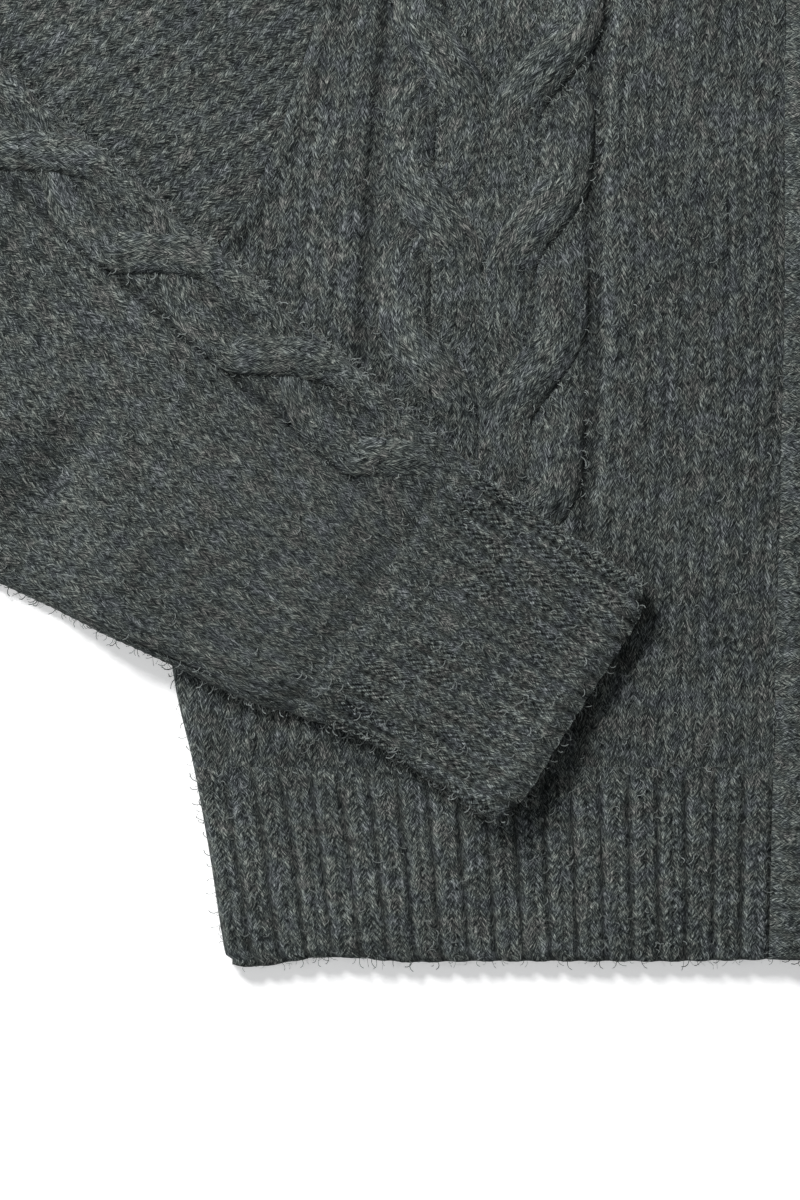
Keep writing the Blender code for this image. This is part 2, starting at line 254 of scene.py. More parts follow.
# the border of a set of faces, as rings of point numbers in the faces' own order
def borderRings(faces):
    edges = {}
    for face in faces:
        for k, start in enumerate(face):
            edges[(start, face[(k + 1) % len(face)])] = True
    following = {}
    for start, end in edges:
        if (end, start) not in edges:
            following.setdefault(start, []).append(end)
    rings = []
    while following:
        start = next(iter(following))
        ring, here = [], start
        while here in following:
            ring.append(here)
            ends = following[here]
            step = ends.pop()
            if not ends:
                del following[here]
            here = step
        rings.append(ring)
    return sorted(rings, key=len, reverse=True)


def buildMesh(name, points, faces, uv, hollow, material):
    mesh = bpy.data.meshes.new(name)
    counts = np.array([len(face) for face in faces])
    starts = np.concatenate([[0], np.cumsum(counts)[:-1]])
    corners = np.concatenate([np.asarray(face) for face in faces])
    place = (np.asarray(points) + [0.0, hemLevel, 0.0]) * mm
    mesh.vertices.add(len(place))
    mesh.vertices.foreach_set("co", place.astype(np.float32).ravel())
    mesh.loops.add(len(corners))
    mesh.loops.foreach_set("vertex_index", corners.astype(np.int32))
    mesh.polygons.add(len(faces))
    mesh.polygons.foreach_set("loop_start", starts.astype(np.int32))
    mesh.update(calc_edges=True)
    layer = mesh.uv_layers.new(name="knit")
    layer.uv.foreach_set("vector", np.asarray(uv, np.float32).ravel())
    # painted shade on each point, which the material multiplies into the yarn's colour; negative values paint
    # it paler
    shade = mesh.attributes.new("hollow", "FLOAT", "POINT")
    shade.data.foreach_set("value", np.asarray(hollow, np.float32))
    mesh.validate()
    mesh.set_sharp_from_angle(angle=skin["sharp"])
    mesh.materials.append(material)
    piece = bpy.data.objects.new(name, mesh)
    bpy.context.scene.collection.objects.link(piece)
    return piece


# the faces between the points of a grid, each as its four corners
def gridQuads(number):
    corners = [number[:-1, :-1], number[:-1, 1:], number[1:, 1:], number[1:, :-1]]
    return np.stack(corners, axis=-1).reshape(-1, 4)


# A grid of points made into a skin. With "under" it is closed below by a rounded rim and a flat
# underside at that height.
def makeSkin(name, grid, u, v, hollow, under=None, rim=skin["rim"]):
    rows, columns = grid.shape[:2]
    number = np.arange(rows * columns).reshape(rows, columns)
    flat = grid.reshape(-1, 3)
    first, faces, loops = weldedFaces(flat, gridQuads(number))
    points = flat[first]
    if under is not None:
        sound = soundFaces(points, faces)
        faces, loops = [faces[k] for k in sound], [loops[k] for k in sound]
    shade = hollow.reshape(-1)[first]
    coords = np.stack([u.ravel(), v.ravel()], axis=1)
    uv = [coords[list(loop)] for loop in loops]
    where = {}
    for face, loop in zip(faces, loops):
        for corner, source in zip(face, loop):
            where.setdefault(corner, coords[source])
    border = borderRings(faces)
    for hole in border[1:]:
        if len(hole) < skin["smallHole"]:
            faces.append(hole[::-1])
            uv.append(np.array([where[corner] for corner in reversed(hole)]))
    if under is not None:
        points, shade = list(points), list(shade)
        ring = border[0]
        edge = np.array([points[k] for k in ring])
        ahead, behind = np.roll(edge, -1, axis=0), np.roll(edge, 1, axis=0)
        along = (ahead - behind)[:, :2]
        along /= np.maximum(np.linalg.norm(along, axis=1, keepdims=True), 1e-6)
        inward = np.stack([-along[:, 1], along[:, 0]], axis=1)
        rings = [list(ring)]
        for inset, height in ((0.0, skin["rimShare"]), (rim, 0.0)):
            level = under + (edge[:, 2] - under) * height
            lower = np.column_stack([edge[:, :2] + inward * inset, level])
            rings.append(list(range(len(points), len(points) + len(ring))))
            points.extend(lower)
            # the rim's points carry that painted light
            shade.extend([skin["rimShade"]] * len(ring))
        count = len(ring)
        for upper, lower in zip(rings, rings[1:]):
            for k in range(count):
                n = (k + 1) % count
                faces.append([upper[n], upper[k], lower[k], lower[n]])
                uv.append(np.array([where[ring[n]], where[ring[k]], where[ring[k]], where[ring[n]]]))
        faces.append(rings[-1][::-1])
        uv.append(np.array([where[k] for k in reversed(ring)]))
    return buildMesh(name, np.array(points), faces, np.concatenate(uv), np.array(shade), wool)


knit = {
    "wale": 5.5,            # width of a column of stitches
    "course": 3.56,         # height of a row
    "lean": 1.5,            # courses that a leg rises from the middle of its column to the edge
    "waleGroove": 0.85,
    "middleGroove": 0.22,
    "legGap": 0.30,
    "uneven": 0.20,
    "unevenSize": 1.3,
    "purlBar": 0.5,         # height of a purl stitch's bar, and what makes one differ from the next
    "purlGroove": 0.25,
    "purlUneven": 0.3,
    "purlUnevenSize": 1.1,
}


# 1 between two columns, 0 in a column's middle
def spreadOf(a):
    return np.abs(2 * (a - np.floor(a)) - 1)


# depth below the crest of a plain stitch, at column a and course b
def plainStitch(a, b):
    spread = spreadOf(a)
    gap = swell(b - knit["lean"] * spread)
    depth = knit["waleGroove"] * spread ** 3 + knit["middleGroove"] * (1 - spread) ** 3
    depth = depth + knit["legGap"] * gap * (1 - 0.5 * spread ** 3)
    return depth + unevenness(knit, "uneven", a * 2, b, 0)


# the back of the fabric: short bars in brick order
def purlStitch(a, b):
    bar = knit["purlBar"] * swell(b + 0.5 * np.floor(a))
    uneven = unevenness(knit, "purlUneven", a * 2, b, 1)
    return bar + knit["purlGroove"] * spreadOf(a) ** 2 + uneven


# columns and courses of a grid whose rows follow the legs of the stitches
def stitchGrid(columns, courses, perColumn=4, perCourse=2):
    a = np.arange(columns[0] * perColumn, columns[1] * perColumn + 1) / perColumn
    b = np.arange(courses[0] * perCourse, courses[1] * perCourse + 1) / perCourse
    return np.meshgrid(a, b)


ribbing = {
    "plain": 0.63,          # share of a rib taken by its column of plain stitches
    "groove": 1.45,
    "grooveSide": 0.30,
    "shoulder": 0.40,
    "middleGroove": 0.60,
    "legGap": 0.90,
    "toe": 0.14,            # how far each leg's end reaches into the groove
    "bar": 0.35,            # height of the purl bumps in the groove
    "barStart": 0.82,       # where across the rib they start, and how soon they are full
    "barSoft": 0.12,
    "stray": 0.07,          # how unevenly the grooves' sides run
    "straySize": 1.4,
    "course": 3.0,
    "even": 0.87,           # depth at which the yarn has its own colour: painted highlight above, painted shade below
    "hollow": 1.3,          # further depth to the darkest painted shade
    # the most painted highlight, and the most painted shade
    "palest": -0.5,
    "darkest": 0.85,
    "wholeColumn": 0.999,   # a hair less than 1, so that a column's last place isn't the next one's first
    "steps": (0.0, 0.075, 0.15, 0.23, 0.36, 0.50, 0.64, 0.77, 0.85, 0.925),
}


# 0 in the rib's middle, 1 in the groove
def ribOut(a):
    return np.abs((a - np.floor(a)) - 0.5) * 2


# 0 in the middle of a rib's column of stitches, 1 at its edge and past it
def ribEdge(a):
    return np.clip(ribOut(a) / ribbing["plain"], 0, 1)


# depth below the crest of a rib at rib place a, course b
def ribStitch(a, b):
    out, edge = ribOut(a), ribEdge(a)
    gap = swell(b - knit["lean"] * edge)
    legs = ribbing["middleGroove"] * (1 - edge) ** 3 + ribbing["legGap"] * gap * (1 - 0.5 * edge ** 3)
    shoulder = ribbing["shoulder"] * edge ** 3
    stray = unevenness(ribbing, "stray", a * 2, b, 14)
    fall = ease((out - ribbing["plain"] - ribbing["toe"] * (0.5 - gap) - stray) / ribbing["grooveSide"])
    shown = ease((out - ribbing["barStart"]) / ribbing["barSoft"])
    bar = ribbing["bar"] * (0.5 + 0.5 * np.cos(2 * pi * b)) * shown
    return legs + shoulder + (ribbing["groove"] - ribbing["shoulder"]) * fall - bar


# painted shade of the yarn at this depth between the ribs, with a painted highlight on the crests: 0 is its
# own shade
def ribPaintedShade(depth):
    return np.clip((depth - ribbing["even"]) / ribbing["hollow"], ribbing["palest"], ribbing["darkest"])


def ribGrid(ribs, courses, perCourse=2):
    a = np.array([k + step for k in range(ribs) for step in ribbing["steps"]] + [ribs])
    b = np.arange(courses * perCourse + 1) / perCourse
    return np.meshgrid(a, b)


# rib place to knit columns for the yarn's direction: the plain column is one whole unit wide
def ribColumns(a):
    share = a - np.floor(a)
    edge = (1 - ribbing["plain"]) / 2
    inside = np.clip((share - edge) / ribbing["plain"], 0, 1)
    outside = np.where(share < edge, share - edge, np.where(share > 1 - edge, share - 1 + edge, 0.0))
    return 2 * np.floor(a) + inside * ribbing["wholeColumn"] + outside * 2 + 0.5


# how far the surface falls at a rounded edge this far away
def edgeFall(distance, radius, depth):
    inside = np.clip(1 - distance / radius, 0, 1)
    return depth * (1 - np.sqrt(1 - inside ** 2))


def wire(tree, source, target):
    if isinstance(source, bpy.types.NodeSocket):
        tree.links.new(source, target)
    else:
        target.default_value = source


# a new node; feeds gives its inputs, each a value or a socket to link it to
def nodeOf(tree, kind, feeds=None, **settings):
    node = tree.nodes.new(kind)
    for key, value in settings.items():
        setattr(node, key, value)
    for key, source in (feeds or {}).items():
        wire(tree, source, node.inputs[key])
    return node


def maths(tree, operation, *values):
    return nodeOf(tree, "ShaderNodeMath", dict(enumerate(values)), operation=operation).outputs[0]


def vectorOf(tree, *parts):
    return nodeOf(tree, "ShaderNodeCombineXYZ", dict(enumerate(parts))).outputs[0]


def partsOf(tree, vector):
    return nodeOf(tree, "ShaderNodeSeparateXYZ", {0: vector}).outputs


def multiplied(tree, first, second):
    feeds = {"Factor": 1.0, "A": first, "B": second}
    return nodeOf(tree, "ShaderNodeMix", feeds, data_type="RGBA", blend_type="MULTIPLY").outputs["Result"]


def rampNode(tree, fac, stops):
    node = nodeOf(tree, "ShaderNodeValToRGB", {0: fac})
    elements = node.color_ramp.elements
    while len(elements) < len(stops):
        elements.new(0.5)
    for element, (place, colour) in zip(elements, stops):
        element.position = place
        element.color = (*colour, 1.0)
    return node.outputs[0]


def noiseAt(tree, vector, scale, detail=2.0, roughness=0.5):
    feeds = {"Vector": vector, "Scale": scale, "Detail": detail, "Roughness": roughness}
    return nodeOf(tree, "ShaderNodeTexNoise", feeds).outputs


# a new group of nodes with these inputs: their names and kinds, and a default for each if it has one
def groupOf(name, kind, inputs, outputs):
    tree = bpy.data.node_groups.new(name, kind)
    for label, socketKind, *value in inputs:
        socket = tree.interface.new_socket(label, in_out="INPUT", socket_type="NodeSocket" + socketKind)
        if value:
            socket.default_value = value[0]
    for label, socketKind in outputs:
        tree.interface.new_socket(label, in_out="OUTPUT", socket_type="NodeSocket" + socketKind)
    return tree, nodeOf(tree, "NodeGroupInput").outputs, nodeOf(tree, "NodeGroupOutput").inputs


yarn = {
    "fibreWidth": 0.27,     # in mm, like the other sizes here
    "fibreLength": 2.7,
    "lean": 29.0,           # degrees that the fibres lie off the column, one way on each leg
    "bend": 0.7,            # how far the fibres stray
    "bendScale": 0.35,
    "crossed": ((1.0, 0.45, 0.0), (0.45, 0.35, 31.3), (-0.9, 0.25, 57.1)),   # lean, weight, seed
    "hairs": ((1.15, 11.9), (0.3, 77.7)),                                    # lean, seed
    "grain": 0.55,          # roughness of the streaks' noise
    "perHalf": 3.7,         # step in the noise from one half of a column to the next
    "middle": 0.525,        # what the streaks add up to on average, and where that lies in the shades
    "middlePlace": 0.365,
    "gain": 4.3,
    "hairWidth": 0.62,
    "hairLength": 4.0,
    "hairThin": 12.0,
    "hairGain": 0.26,
    "shades": ((0.05, (0.0048, 0.0062, 0.0064)), (0.30, (0.020, 0.0245, 0.0245)),
               (0.50, (0.050, 0.058, 0.056)), (0.72, (0.124, 0.136, 0.130)), (0.98, (0.30, 0.32, 0.30))),
    "mottle": 0.15,
    "mottleScale": 0.16,
    "largeMottle": 0.09,
    "largeScale": 26.0,     # in each metre
    "tints": ((0.34, (0.97, 0.97, 1.06)), (0.44, (0.97, 1.0, 1.02)),
              (0.54, (0.99, 1.01, 0.97)), (0.66, (1.05, 0.98, 0.97))),
    "patch": 10.0,          # size of the faintly tinted patches
    "nepSpacing": 21.0,     # pale knots of fibre: one at most in each square of this size
    "nepRadius": 1.1,
    "nepShare": 0.3,
    "nepGain": 0.7,
    # how strongly the painted shade darkens the yarn
    "hollowDark": 0.60,
    "roughness": 0.95,
    "specular": 0.12,
    "sheen": 0.08,
    "sheenRoughness": 0.55,
    "sheenTint": (0.85, 0.92, 0.95, 1.0),
    "bump": 0.5,
    "bumpDepth": 0.6,
}


# A heather yarn: fine light and dark fibres that lie along the legs of the stitches, darkened by the painted
# shade that each point carries
def heatherGroup():
    inputs = (("Fibre width", "Float", yarn["fibreWidth"]), ("Fibre length", "Float", yarn["fibreLength"]),
              ("Lean", "Float", radians(yarn["lean"])), ("Gain", "Float", yarn["gain"]),
              ("Hair gain", "Float", yarn["hairGain"]), ("Hollow dark", "Float", yarn["hollowDark"]))
    outputs = (("Color", "Color"), ("Height", "Float"))
    tree, given, made = groupOf("heatherYarn", "ShaderNodeTree", inputs, outputs)
    uv = nodeOf(tree, "ShaderNodeUVMap", uv_map="knit")
    place = nodeOf(tree, "ShaderNodeTexCoord")
    u, v = partsOf(tree, uv.outputs[0])[:2]
    half = maths(tree, "FLOOR", maths(tree, "MULTIPLY", u, 2.0))
    left = maths(tree, "LESS_THAN", maths(tree, "FRACT", u), 0.5)
    side = maths(tree, "MULTIPLY_ADD", left, 2.0, -1.0)
    straightX = maths(tree, "MULTIPLY", u, knit["wale"])
    straightY = maths(tree, "MULTIPLY", v, knit["course"])
    flat = vectorOf(tree, straightX, straightY)
    stray = partsOf(tree, noiseAt(tree, flat, yarn["bendScale"], 1.0)["Color"])
    x = maths(tree, "MULTIPLY_ADD", stray[0], yarn["bend"], straightX)
    y = maths(tree, "MULTIPLY_ADD", stray[1], yarn["bend"], straightY)

    # streaks that lean this share of the yarn's lean
    def streaks(share, width, length, seed, detail=2.0):
        lean = maths(tree, "MULTIPLY", given["Lean"], share)
        sine = maths(tree, "MULTIPLY", side, maths(tree, "SINE", lean))
        cosine = maths(tree, "COSINE", lean)
        yCosine, xSine = maths(tree, "MULTIPLY", y, cosine), maths(tree, "MULTIPLY", x, sine)
        xCosine, ySine = maths(tree, "MULTIPLY", x, cosine), maths(tree, "MULTIPLY", y, sine)
        across = maths(tree, "DIVIDE", maths(tree, "ADD", xCosine, ySine), width)
        along = maths(tree, "DIVIDE", maths(tree, "SUBTRACT", yCosine, xSine), length)
        layer = maths(tree, "MULTIPLY_ADD", half, yarn["perHalf"], seed)
        return noiseAt(tree, vectorOf(tree, across, along, layer), 1.0, detail, yarn["grain"])[0]

    # thin pale hairs, where slow streaks cross their middle value
    def hairs(share, seed):
        value = streaks(share, yarn["hairWidth"], yarn["hairLength"], seed, 0.0)
        away = maths(tree, "ABSOLUTE", maths(tree, "SUBTRACT", value, 0.5))
        return maths(tree, "MAXIMUM", maths(tree, "MULTIPLY_ADD", away, -yarn["hairThin"], 1.0), 0.0)

    mixed = 0.0
    for share, weight, seed in yarn["crossed"]:
        streak = streaks(share, given["Fibre width"], given["Fibre length"], seed)
        mixed = maths(tree, "MULTIPLY_ADD", streak, weight, mixed)
    fromMiddle = maths(tree, "SUBTRACT", mixed, yarn["middle"])
    spread = maths(tree, "MULTIPLY_ADD", fromMiddle, given["Gain"], yarn["middlePlace"])
    hair = maths(tree, "MAXIMUM", *(hairs(share, seed) for share, seed in yarn["hairs"]))
    spread = maths(tree, "MULTIPLY_ADD", hair, given["Hair gain"], spread)
    knots = nodeOf(tree, "ShaderNodeTexVoronoi", {"Vector": flat, "Scale": 1 / yarn["nepSpacing"]}).outputs
    chance = nodeOf(tree, "ShaderNodeSeparateColor", {0: knots["Color"]}).outputs[0]
    shown = maths(tree, "LESS_THAN", chance, yarn["nepShare"])
    narrow = -yarn["nepSpacing"] / yarn["nepRadius"]
    knot = maths(tree, "MAXIMUM", maths(tree, "MULTIPLY_ADD", knots["Distance"], narrow, 1.0), 0.0)
    spread = maths(tree, "MULTIPLY_ADD", maths(tree, "MULTIPLY", knot, shown), yarn["nepGain"], spread)
    mottle = noiseAt(tree, flat, yarn["mottleScale"], roughness=yarn["grain"])[0]
    large = noiseAt(tree, place.outputs["Object"], yarn["largeScale"])[0]
    tone = maths(tree, "MULTIPLY_ADD", mottle, yarn["mottle"] * 2, -yarn["mottle"])
    largeTone = maths(tree, "MULTIPLY_ADD", large, yarn["largeMottle"] * 2, -yarn["largeMottle"])
    tone = maths(tree, "ADD", tone, largeTone)
    colour = rampNode(tree, maths(tree, "ADD", spread, tone), yarn["shades"])
    tint = rampNode(tree, noiseAt(tree, flat, 1 / yarn["patch"])[0], yarn["tints"])
    # painted shade: each point's value darkens the yarn where shade would fall in the knitting, and negative
    # values paint a highlight
    hollow = nodeOf(tree, "ShaderNodeAttribute", attribute_name="hollow").outputs["Fac"]
    paintedShadeFactor = maths(tree, "SUBTRACT", 1.0, maths(tree, "MULTIPLY", hollow, given["Hollow dark"]))
    tinted = multiplied(tree, colour, tint)
    wire(tree, multiplied(tree, tinted, vectorOf(tree, paintedShadeFactor, paintedShadeFactor, paintedShadeFactor)), made["Color"])
    wire(tree, spread, made["Height"])
    return tree


def woolMaterial(group):
    material = bpy.data.materials.new("heatherWool")
    material.use_nodes = True
    tree = material.node_tree
    made = nodeOf(tree, "ShaderNodeGroup", node_tree=group).outputs
    feeds = {"Strength": yarn["bump"], "Distance": yarn["bumpDepth"] * mm, "Height": made["Height"]}
    bump = nodeOf(tree, "ShaderNodeBump", feeds)
    for label, source in (("Base Color", made["Color"]), ("Roughness", yarn["roughness"]),
                          ("Specular IOR Level", yarn["specular"]), ("Sheen Weight", yarn["sheen"]),
                          ("Sheen Roughness", yarn["sheenRoughness"]), ("Sheen Tint", yarn["sheenTint"]),
                          ("Normal", bump.outputs[0])):
        wire(tree, source, tree.nodes["Principled BSDF"].inputs[label])
    return material


wool = woolMaterial(heatherGroup())
print("materials made")


# The flat sleeve, whose forearm is folded over the front
sleeve = {
    "cuffMiddle": (93.3, 91.3),
    "angle": radians(33.0),
    "cuffLength": 83.0,
    "creaseX": 369.7,
    "foldRadius": 4.5,
    "tube": 6.6,
    "edgeRound": 4.0,        # how far in from the flat sleeve's edges the cloth rounds over
    "edgeSink": 1.4,         # how far the lower edge lies below the middle of the sleeve's thickness
    "sagStart": 12.0,
    "sagReach": 34.0,
    "settleReach": 30.0,
    "cableZone": 33.6,       # width of the cable's ground, in from the top fold
    "sinkEnds": 200.0,       # where up the arm the lower edge starts to rise again, and how slowly
    "sinkFades": 120.0,
    "tuck": 1.2,             # how far the plain cloth draws in under the cable at the top fold
    "tuckStarts": 14.0,
    "tuckEnds": 330.0,
    "tuckFades": 60.0,
    "capGuess": 500.0,       # about how far up the arm the armhole seam is
    "aboveTable": 0.02,
}
# up the arm, to the top fold, to the underarm seam
sleeveRows = [
    (0.0, 50.0, 47.6),
    (25.0, 50.9, 49.6),
    (50.0, 51.8, 51.0),
    (83.0, 54.0, 57.2),
    (120.0, 58.5, 65.4),
    (200.0, 69.0, 76.6),
    (340.0, 87.0, 94.0),
    (421.0, 97.0, 103.0),
    (500.0, 100.5, 103.0),
    (560.0, 100.5, 103.0),
    (600.0, 97.0, 103.0),
    (621.7, 93.1, 103.0),
]
sleeveCos, sleeveSin = cos(sleeve["angle"]), sin(sleeve["angle"])
foldCentre = -sleeve["creaseX"] + sleeve["foldRadius"]


def onSleeve(s, t):
    x = -sleeve["cuffMiddle"][0] - s * sleeveCos + t * sleeveSin
    return x, sleeve["cuffMiddle"][1] + s * sleeveSin + t * sleeveCos


# up the arm and across it, of a place on the front that the forearm lies on
def sleevePlace(x, h):
    dx, dh = x + sleeve["cuffMiddle"][0], h - sleeve["cuffMiddle"][1]
    return -dx * sleeveCos + dh * sleeveSin, dx * sleeveSin + dh * sleeveCos


# 1 for a place under the forearm, 0 outside it
def forearmCover(x, h):
    s, t = sleevePlace(x, h)
    inside = np.minimum(readRows(sleeveRows, s, 1) - t, readRows(sleeveRows, s, 2) + t)
    return ease((np.minimum(inside, s) + 5.0) / 8.0)


# where the crease across the arm meets its underarm edge
def creaseEnd():
    low, high = 0.0, sleeveRows[-1][0]
    for _ in range(40):
        middle = (low + high) / 2
        atX, atH = onSleeve(middle, -readRows(sleeveRows, middle, 2))
        if atX > -sleeve["creaseX"]:
            low = middle
        else:
            high = middle
    return -sleeve["creaseX"], atH


creaseLow = creaseEnd()


# how far the forearm sags where neither the front nor the upper arm lies under it
def supportDrop(x, h):
    body = np.where(h < sideRows[-1][0], -x - readRows(sideRows, h), 0.0)
    lowX, lowH = creaseLow
    run, rise = -sideRows[-1][1] - lowX, sideRows[-1][0] - lowH
    below = ((x - lowX) * rise - (h - lowH) * run) / (run * run + rise * rise) ** 0.5
    away = np.minimum(body, below) - sleeve["sagStart"]
    return sleeve["tube"] * ease(away / sleeve["sagReach"])


# where a point of the flat sleeve lies once the arm is folded; out is its height off the middle
def folded(x, h, out):
    radius, tube = sleeve["foldRadius"], sleeve["tube"]
    middle = tube / 2
    past = x - foldCentre
    rest = 1 - ease(past / sleeve["settleReach"])
    lift = middle + tube + garment["seamGap"] + rest * (2 * radius - tube - garment["seamGap"])
    turn = np.clip(-past / radius, 0, pi)
    reach = radius + out
    flatX, flatZ = x, lift + out - supportDrop(x, h)
    roundX = foldCentre - reach * np.sin(turn)
    roundZ = middle + radius + reach * np.cos(turn)
    backX = foldCentre + (-past / radius - pi) * radius
    fx = np.where(past >= 0, flatX, np.where(-past / radius <= pi, roundX, backX))
    fz = np.where(past >= 0, flatZ, np.where(-past / radius <= pi, roundZ, middle - out))
    return np.stack([fx, h + 0 * fx, fz], axis=-1)


# how far the plain cloth draws in at the top fold, where the cable's strands make the edge
def cableTuck(s):
    starts = ease((s - sleeve["cuffLength"]) / sleeve["tuckStarts"])
    return sleeve["tuck"] * starts * (1 - ease((s - sleeve["tuckEnds"]) / sleeve["tuckFades"]))


# half the way round the flat sleeve's skin at this section, inset from its outside
def halfRound(s, inset=0.0):
    width = readRows(sleeveRows, s, 1) + readRows(sleeveRows, s, 2) - 2 * inset - cableTuck(s)
    edge = sleeve["edgeRound"] - inset
    return width - 2 * edge + 2 * quarterRound(inset)


# a quarter of the way round the skin's rounded edge
def quarterRound(inset=0.0):
    across, up = sleeve["edgeRound"] - inset, sleeve["tube"] / 2 - inset
    return pi / 2 * ((across * across + up * up) / 2) ** 0.5


# A place on the skin: share 0 is the underarm fold, 1 the top fold, 1 to 2 the other side. Gives the
# distance across the sleeve, the height off its middle, and the way out of the skin there.
def sectionAt(s, share, inset=0.0):
    upper = readRows(sleeveRows, s, 1) - inset - cableTuck(s)
    lower = readRows(sleeveRows, s, 2) - inset
    across, up = sleeve["edgeRound"] - inset, sleeve["tube"] / 2 - inset
    half, quarter = halfRound(s, inset), quarterRound(inset)
    face = np.where(share <= 1, 1.0, -1.0)
    way = np.where(share <= 1, share, 2 - share) * half
    nearLow, nearHigh = way < quarter, way > half - quarter
    angle = np.where(nearLow, way / quarter, np.where(nearHigh, (half - way) / quarter, 1.0)) * pi / 2
    inwards = across * (1 - np.cos(angle))
    t = np.where(nearHigh, upper - inwards, -lower + across + way - quarter)
    t = np.where(nearLow, -lower + inwards, t)
    sink = sleeve["edgeSink"] * np.where(nearLow, np.cos(angle) ** 2, 0.0)
    out = face * up * np.sin(angle) - sink * (1 - ease((s - sleeve["sinkEnds"]) / sleeve["sinkFades"]))
    outT = np.where(nearLow, -np.cos(angle), np.where(nearHigh, np.cos(angle), 0.0))
    outZ = face * np.sin(angle)
    return t, out, outT, outZ


# the same place once the arm is folded, raised off the skin, and never below the table
def skinPoint(s, share, raised, inset=0.0):
    t, out, outT, outZ = sectionAt(s, share, inset)
    x, h = onSleeve(s, t + outT * raised)
    points = folded(x, h, out + outZ * raised)
    points[..., 2] = np.maximum(points[..., 2], sleeve["aboveTable"])
    return points


# the line round the armhole, as x on the flat sleeve
def capLine(h):
    span = 2 * foldCentre - pi * sleeve["foldRadius"]
    return span + readRows(armholeRows, h) + garment["hairline"]


# how far up the arm the skin reaches before the armhole seam cuts it
def capReach(share):
    s = np.full_like(share, sleeve["capGuess"])
    for _ in range(60):
        t = sectionAt(s, share)[0]
        h = sleeve["cuffMiddle"][1] + s * sleeveSin + t * sleeveCos
        s = 0.5 * s + 0.5 * (-sleeve["cuffMiddle"][0] + t * sleeveSin - capLine(h)) / sleeveCos
    return s


joins = {"level": 0.45, "dip": 0.15, "dipWidth": 1.6}     # where two pieces are knitted or sewn into one

front = {
    "columnsOut": 20,       # columns between the side and the cable, counted from the cable
    "cableColumns": 15,
    "columnsIn": 12,
    "columnsSpare": 4,      # past the seam, so that the panel's slanting edges are cut from whole cloth
    "columnWidening": 1.02,
    "courses": 136,
    "undulation": 0.45,     # slow waves of the cloth and their size, and the same of smaller ones
    "undulationSize": 42.0,
    "ripple": 0.25,
    "rippleSize": 15.0,
    "sway": 0.5,            # how far the columns wander sideways
    "swaySize": 18.0,
    "puff": 0.6,            # how far the cloth stands up above the hem rib
    "groundDepth": 0.30,    # how deep the cable's ground lies, and how much deeper along its channels
    "channelDepth": 0.95,
    "groundStarts": 16.0,
    "innerRidge": 0.75,     # height of the plain column next to each channel
    "outerRidge": 0.45,
    "armholeRoll": 0.75,
    "pressed": 0.7,         # how far the forearm's weight takes the waves out of the cloth below it
    "crest": 0.25,          # depth at which the painted shade starts, and further depth to its darkest
    "darkest": 1.5,
    "groundDarkest": 1.9,
    # painted shade along the cable's channels
    "channelShade": 0.30,
}
# edges of the cable's ground: height, x at its outer channel, x at its inner channel
channelRows = [
    (0.0, -175.0, -90.5),
    (70.0, -174.0, -89.0),
    (150.0, -172.0, -85.5),
    (219.6, -169.2, -81.8),
    (284.4, -165.6, -81.9),
    (306.0, -163.8, -81.3),
    (345.6, -160.2, -78.6),
    (430.0, -160.0, -84.0),
    (545.0, -166.0, -92.0),
]


# height of the shoulder seam above the hem
def shoulderAt(x):
    tip, neck = garment["shoulderTip"], garment["neckPoint"]
    share = np.clip((-x - neck[0]) / (tip[0] - neck[0]), 0, 1)
    return neck[1] + (tip[1] - neck[1]) * share


# the front panel's outline clamps a grid of places to it
def clampFront(x, h, outerAt, innerAt):
    for _ in range(3):
        shoulder = shoulderAt(x)
        h = np.clip(h, garment["ribHeight"] + garment["hairline"], shoulder)
        x = np.clip(x, outerAt(h), innerAt(h))
    return x, h, shoulder - h


def outerEdge(h):
    return np.where(h < sideRows[-1][0], -readRows(sideRows, h), -readRows(armholeRows, h))


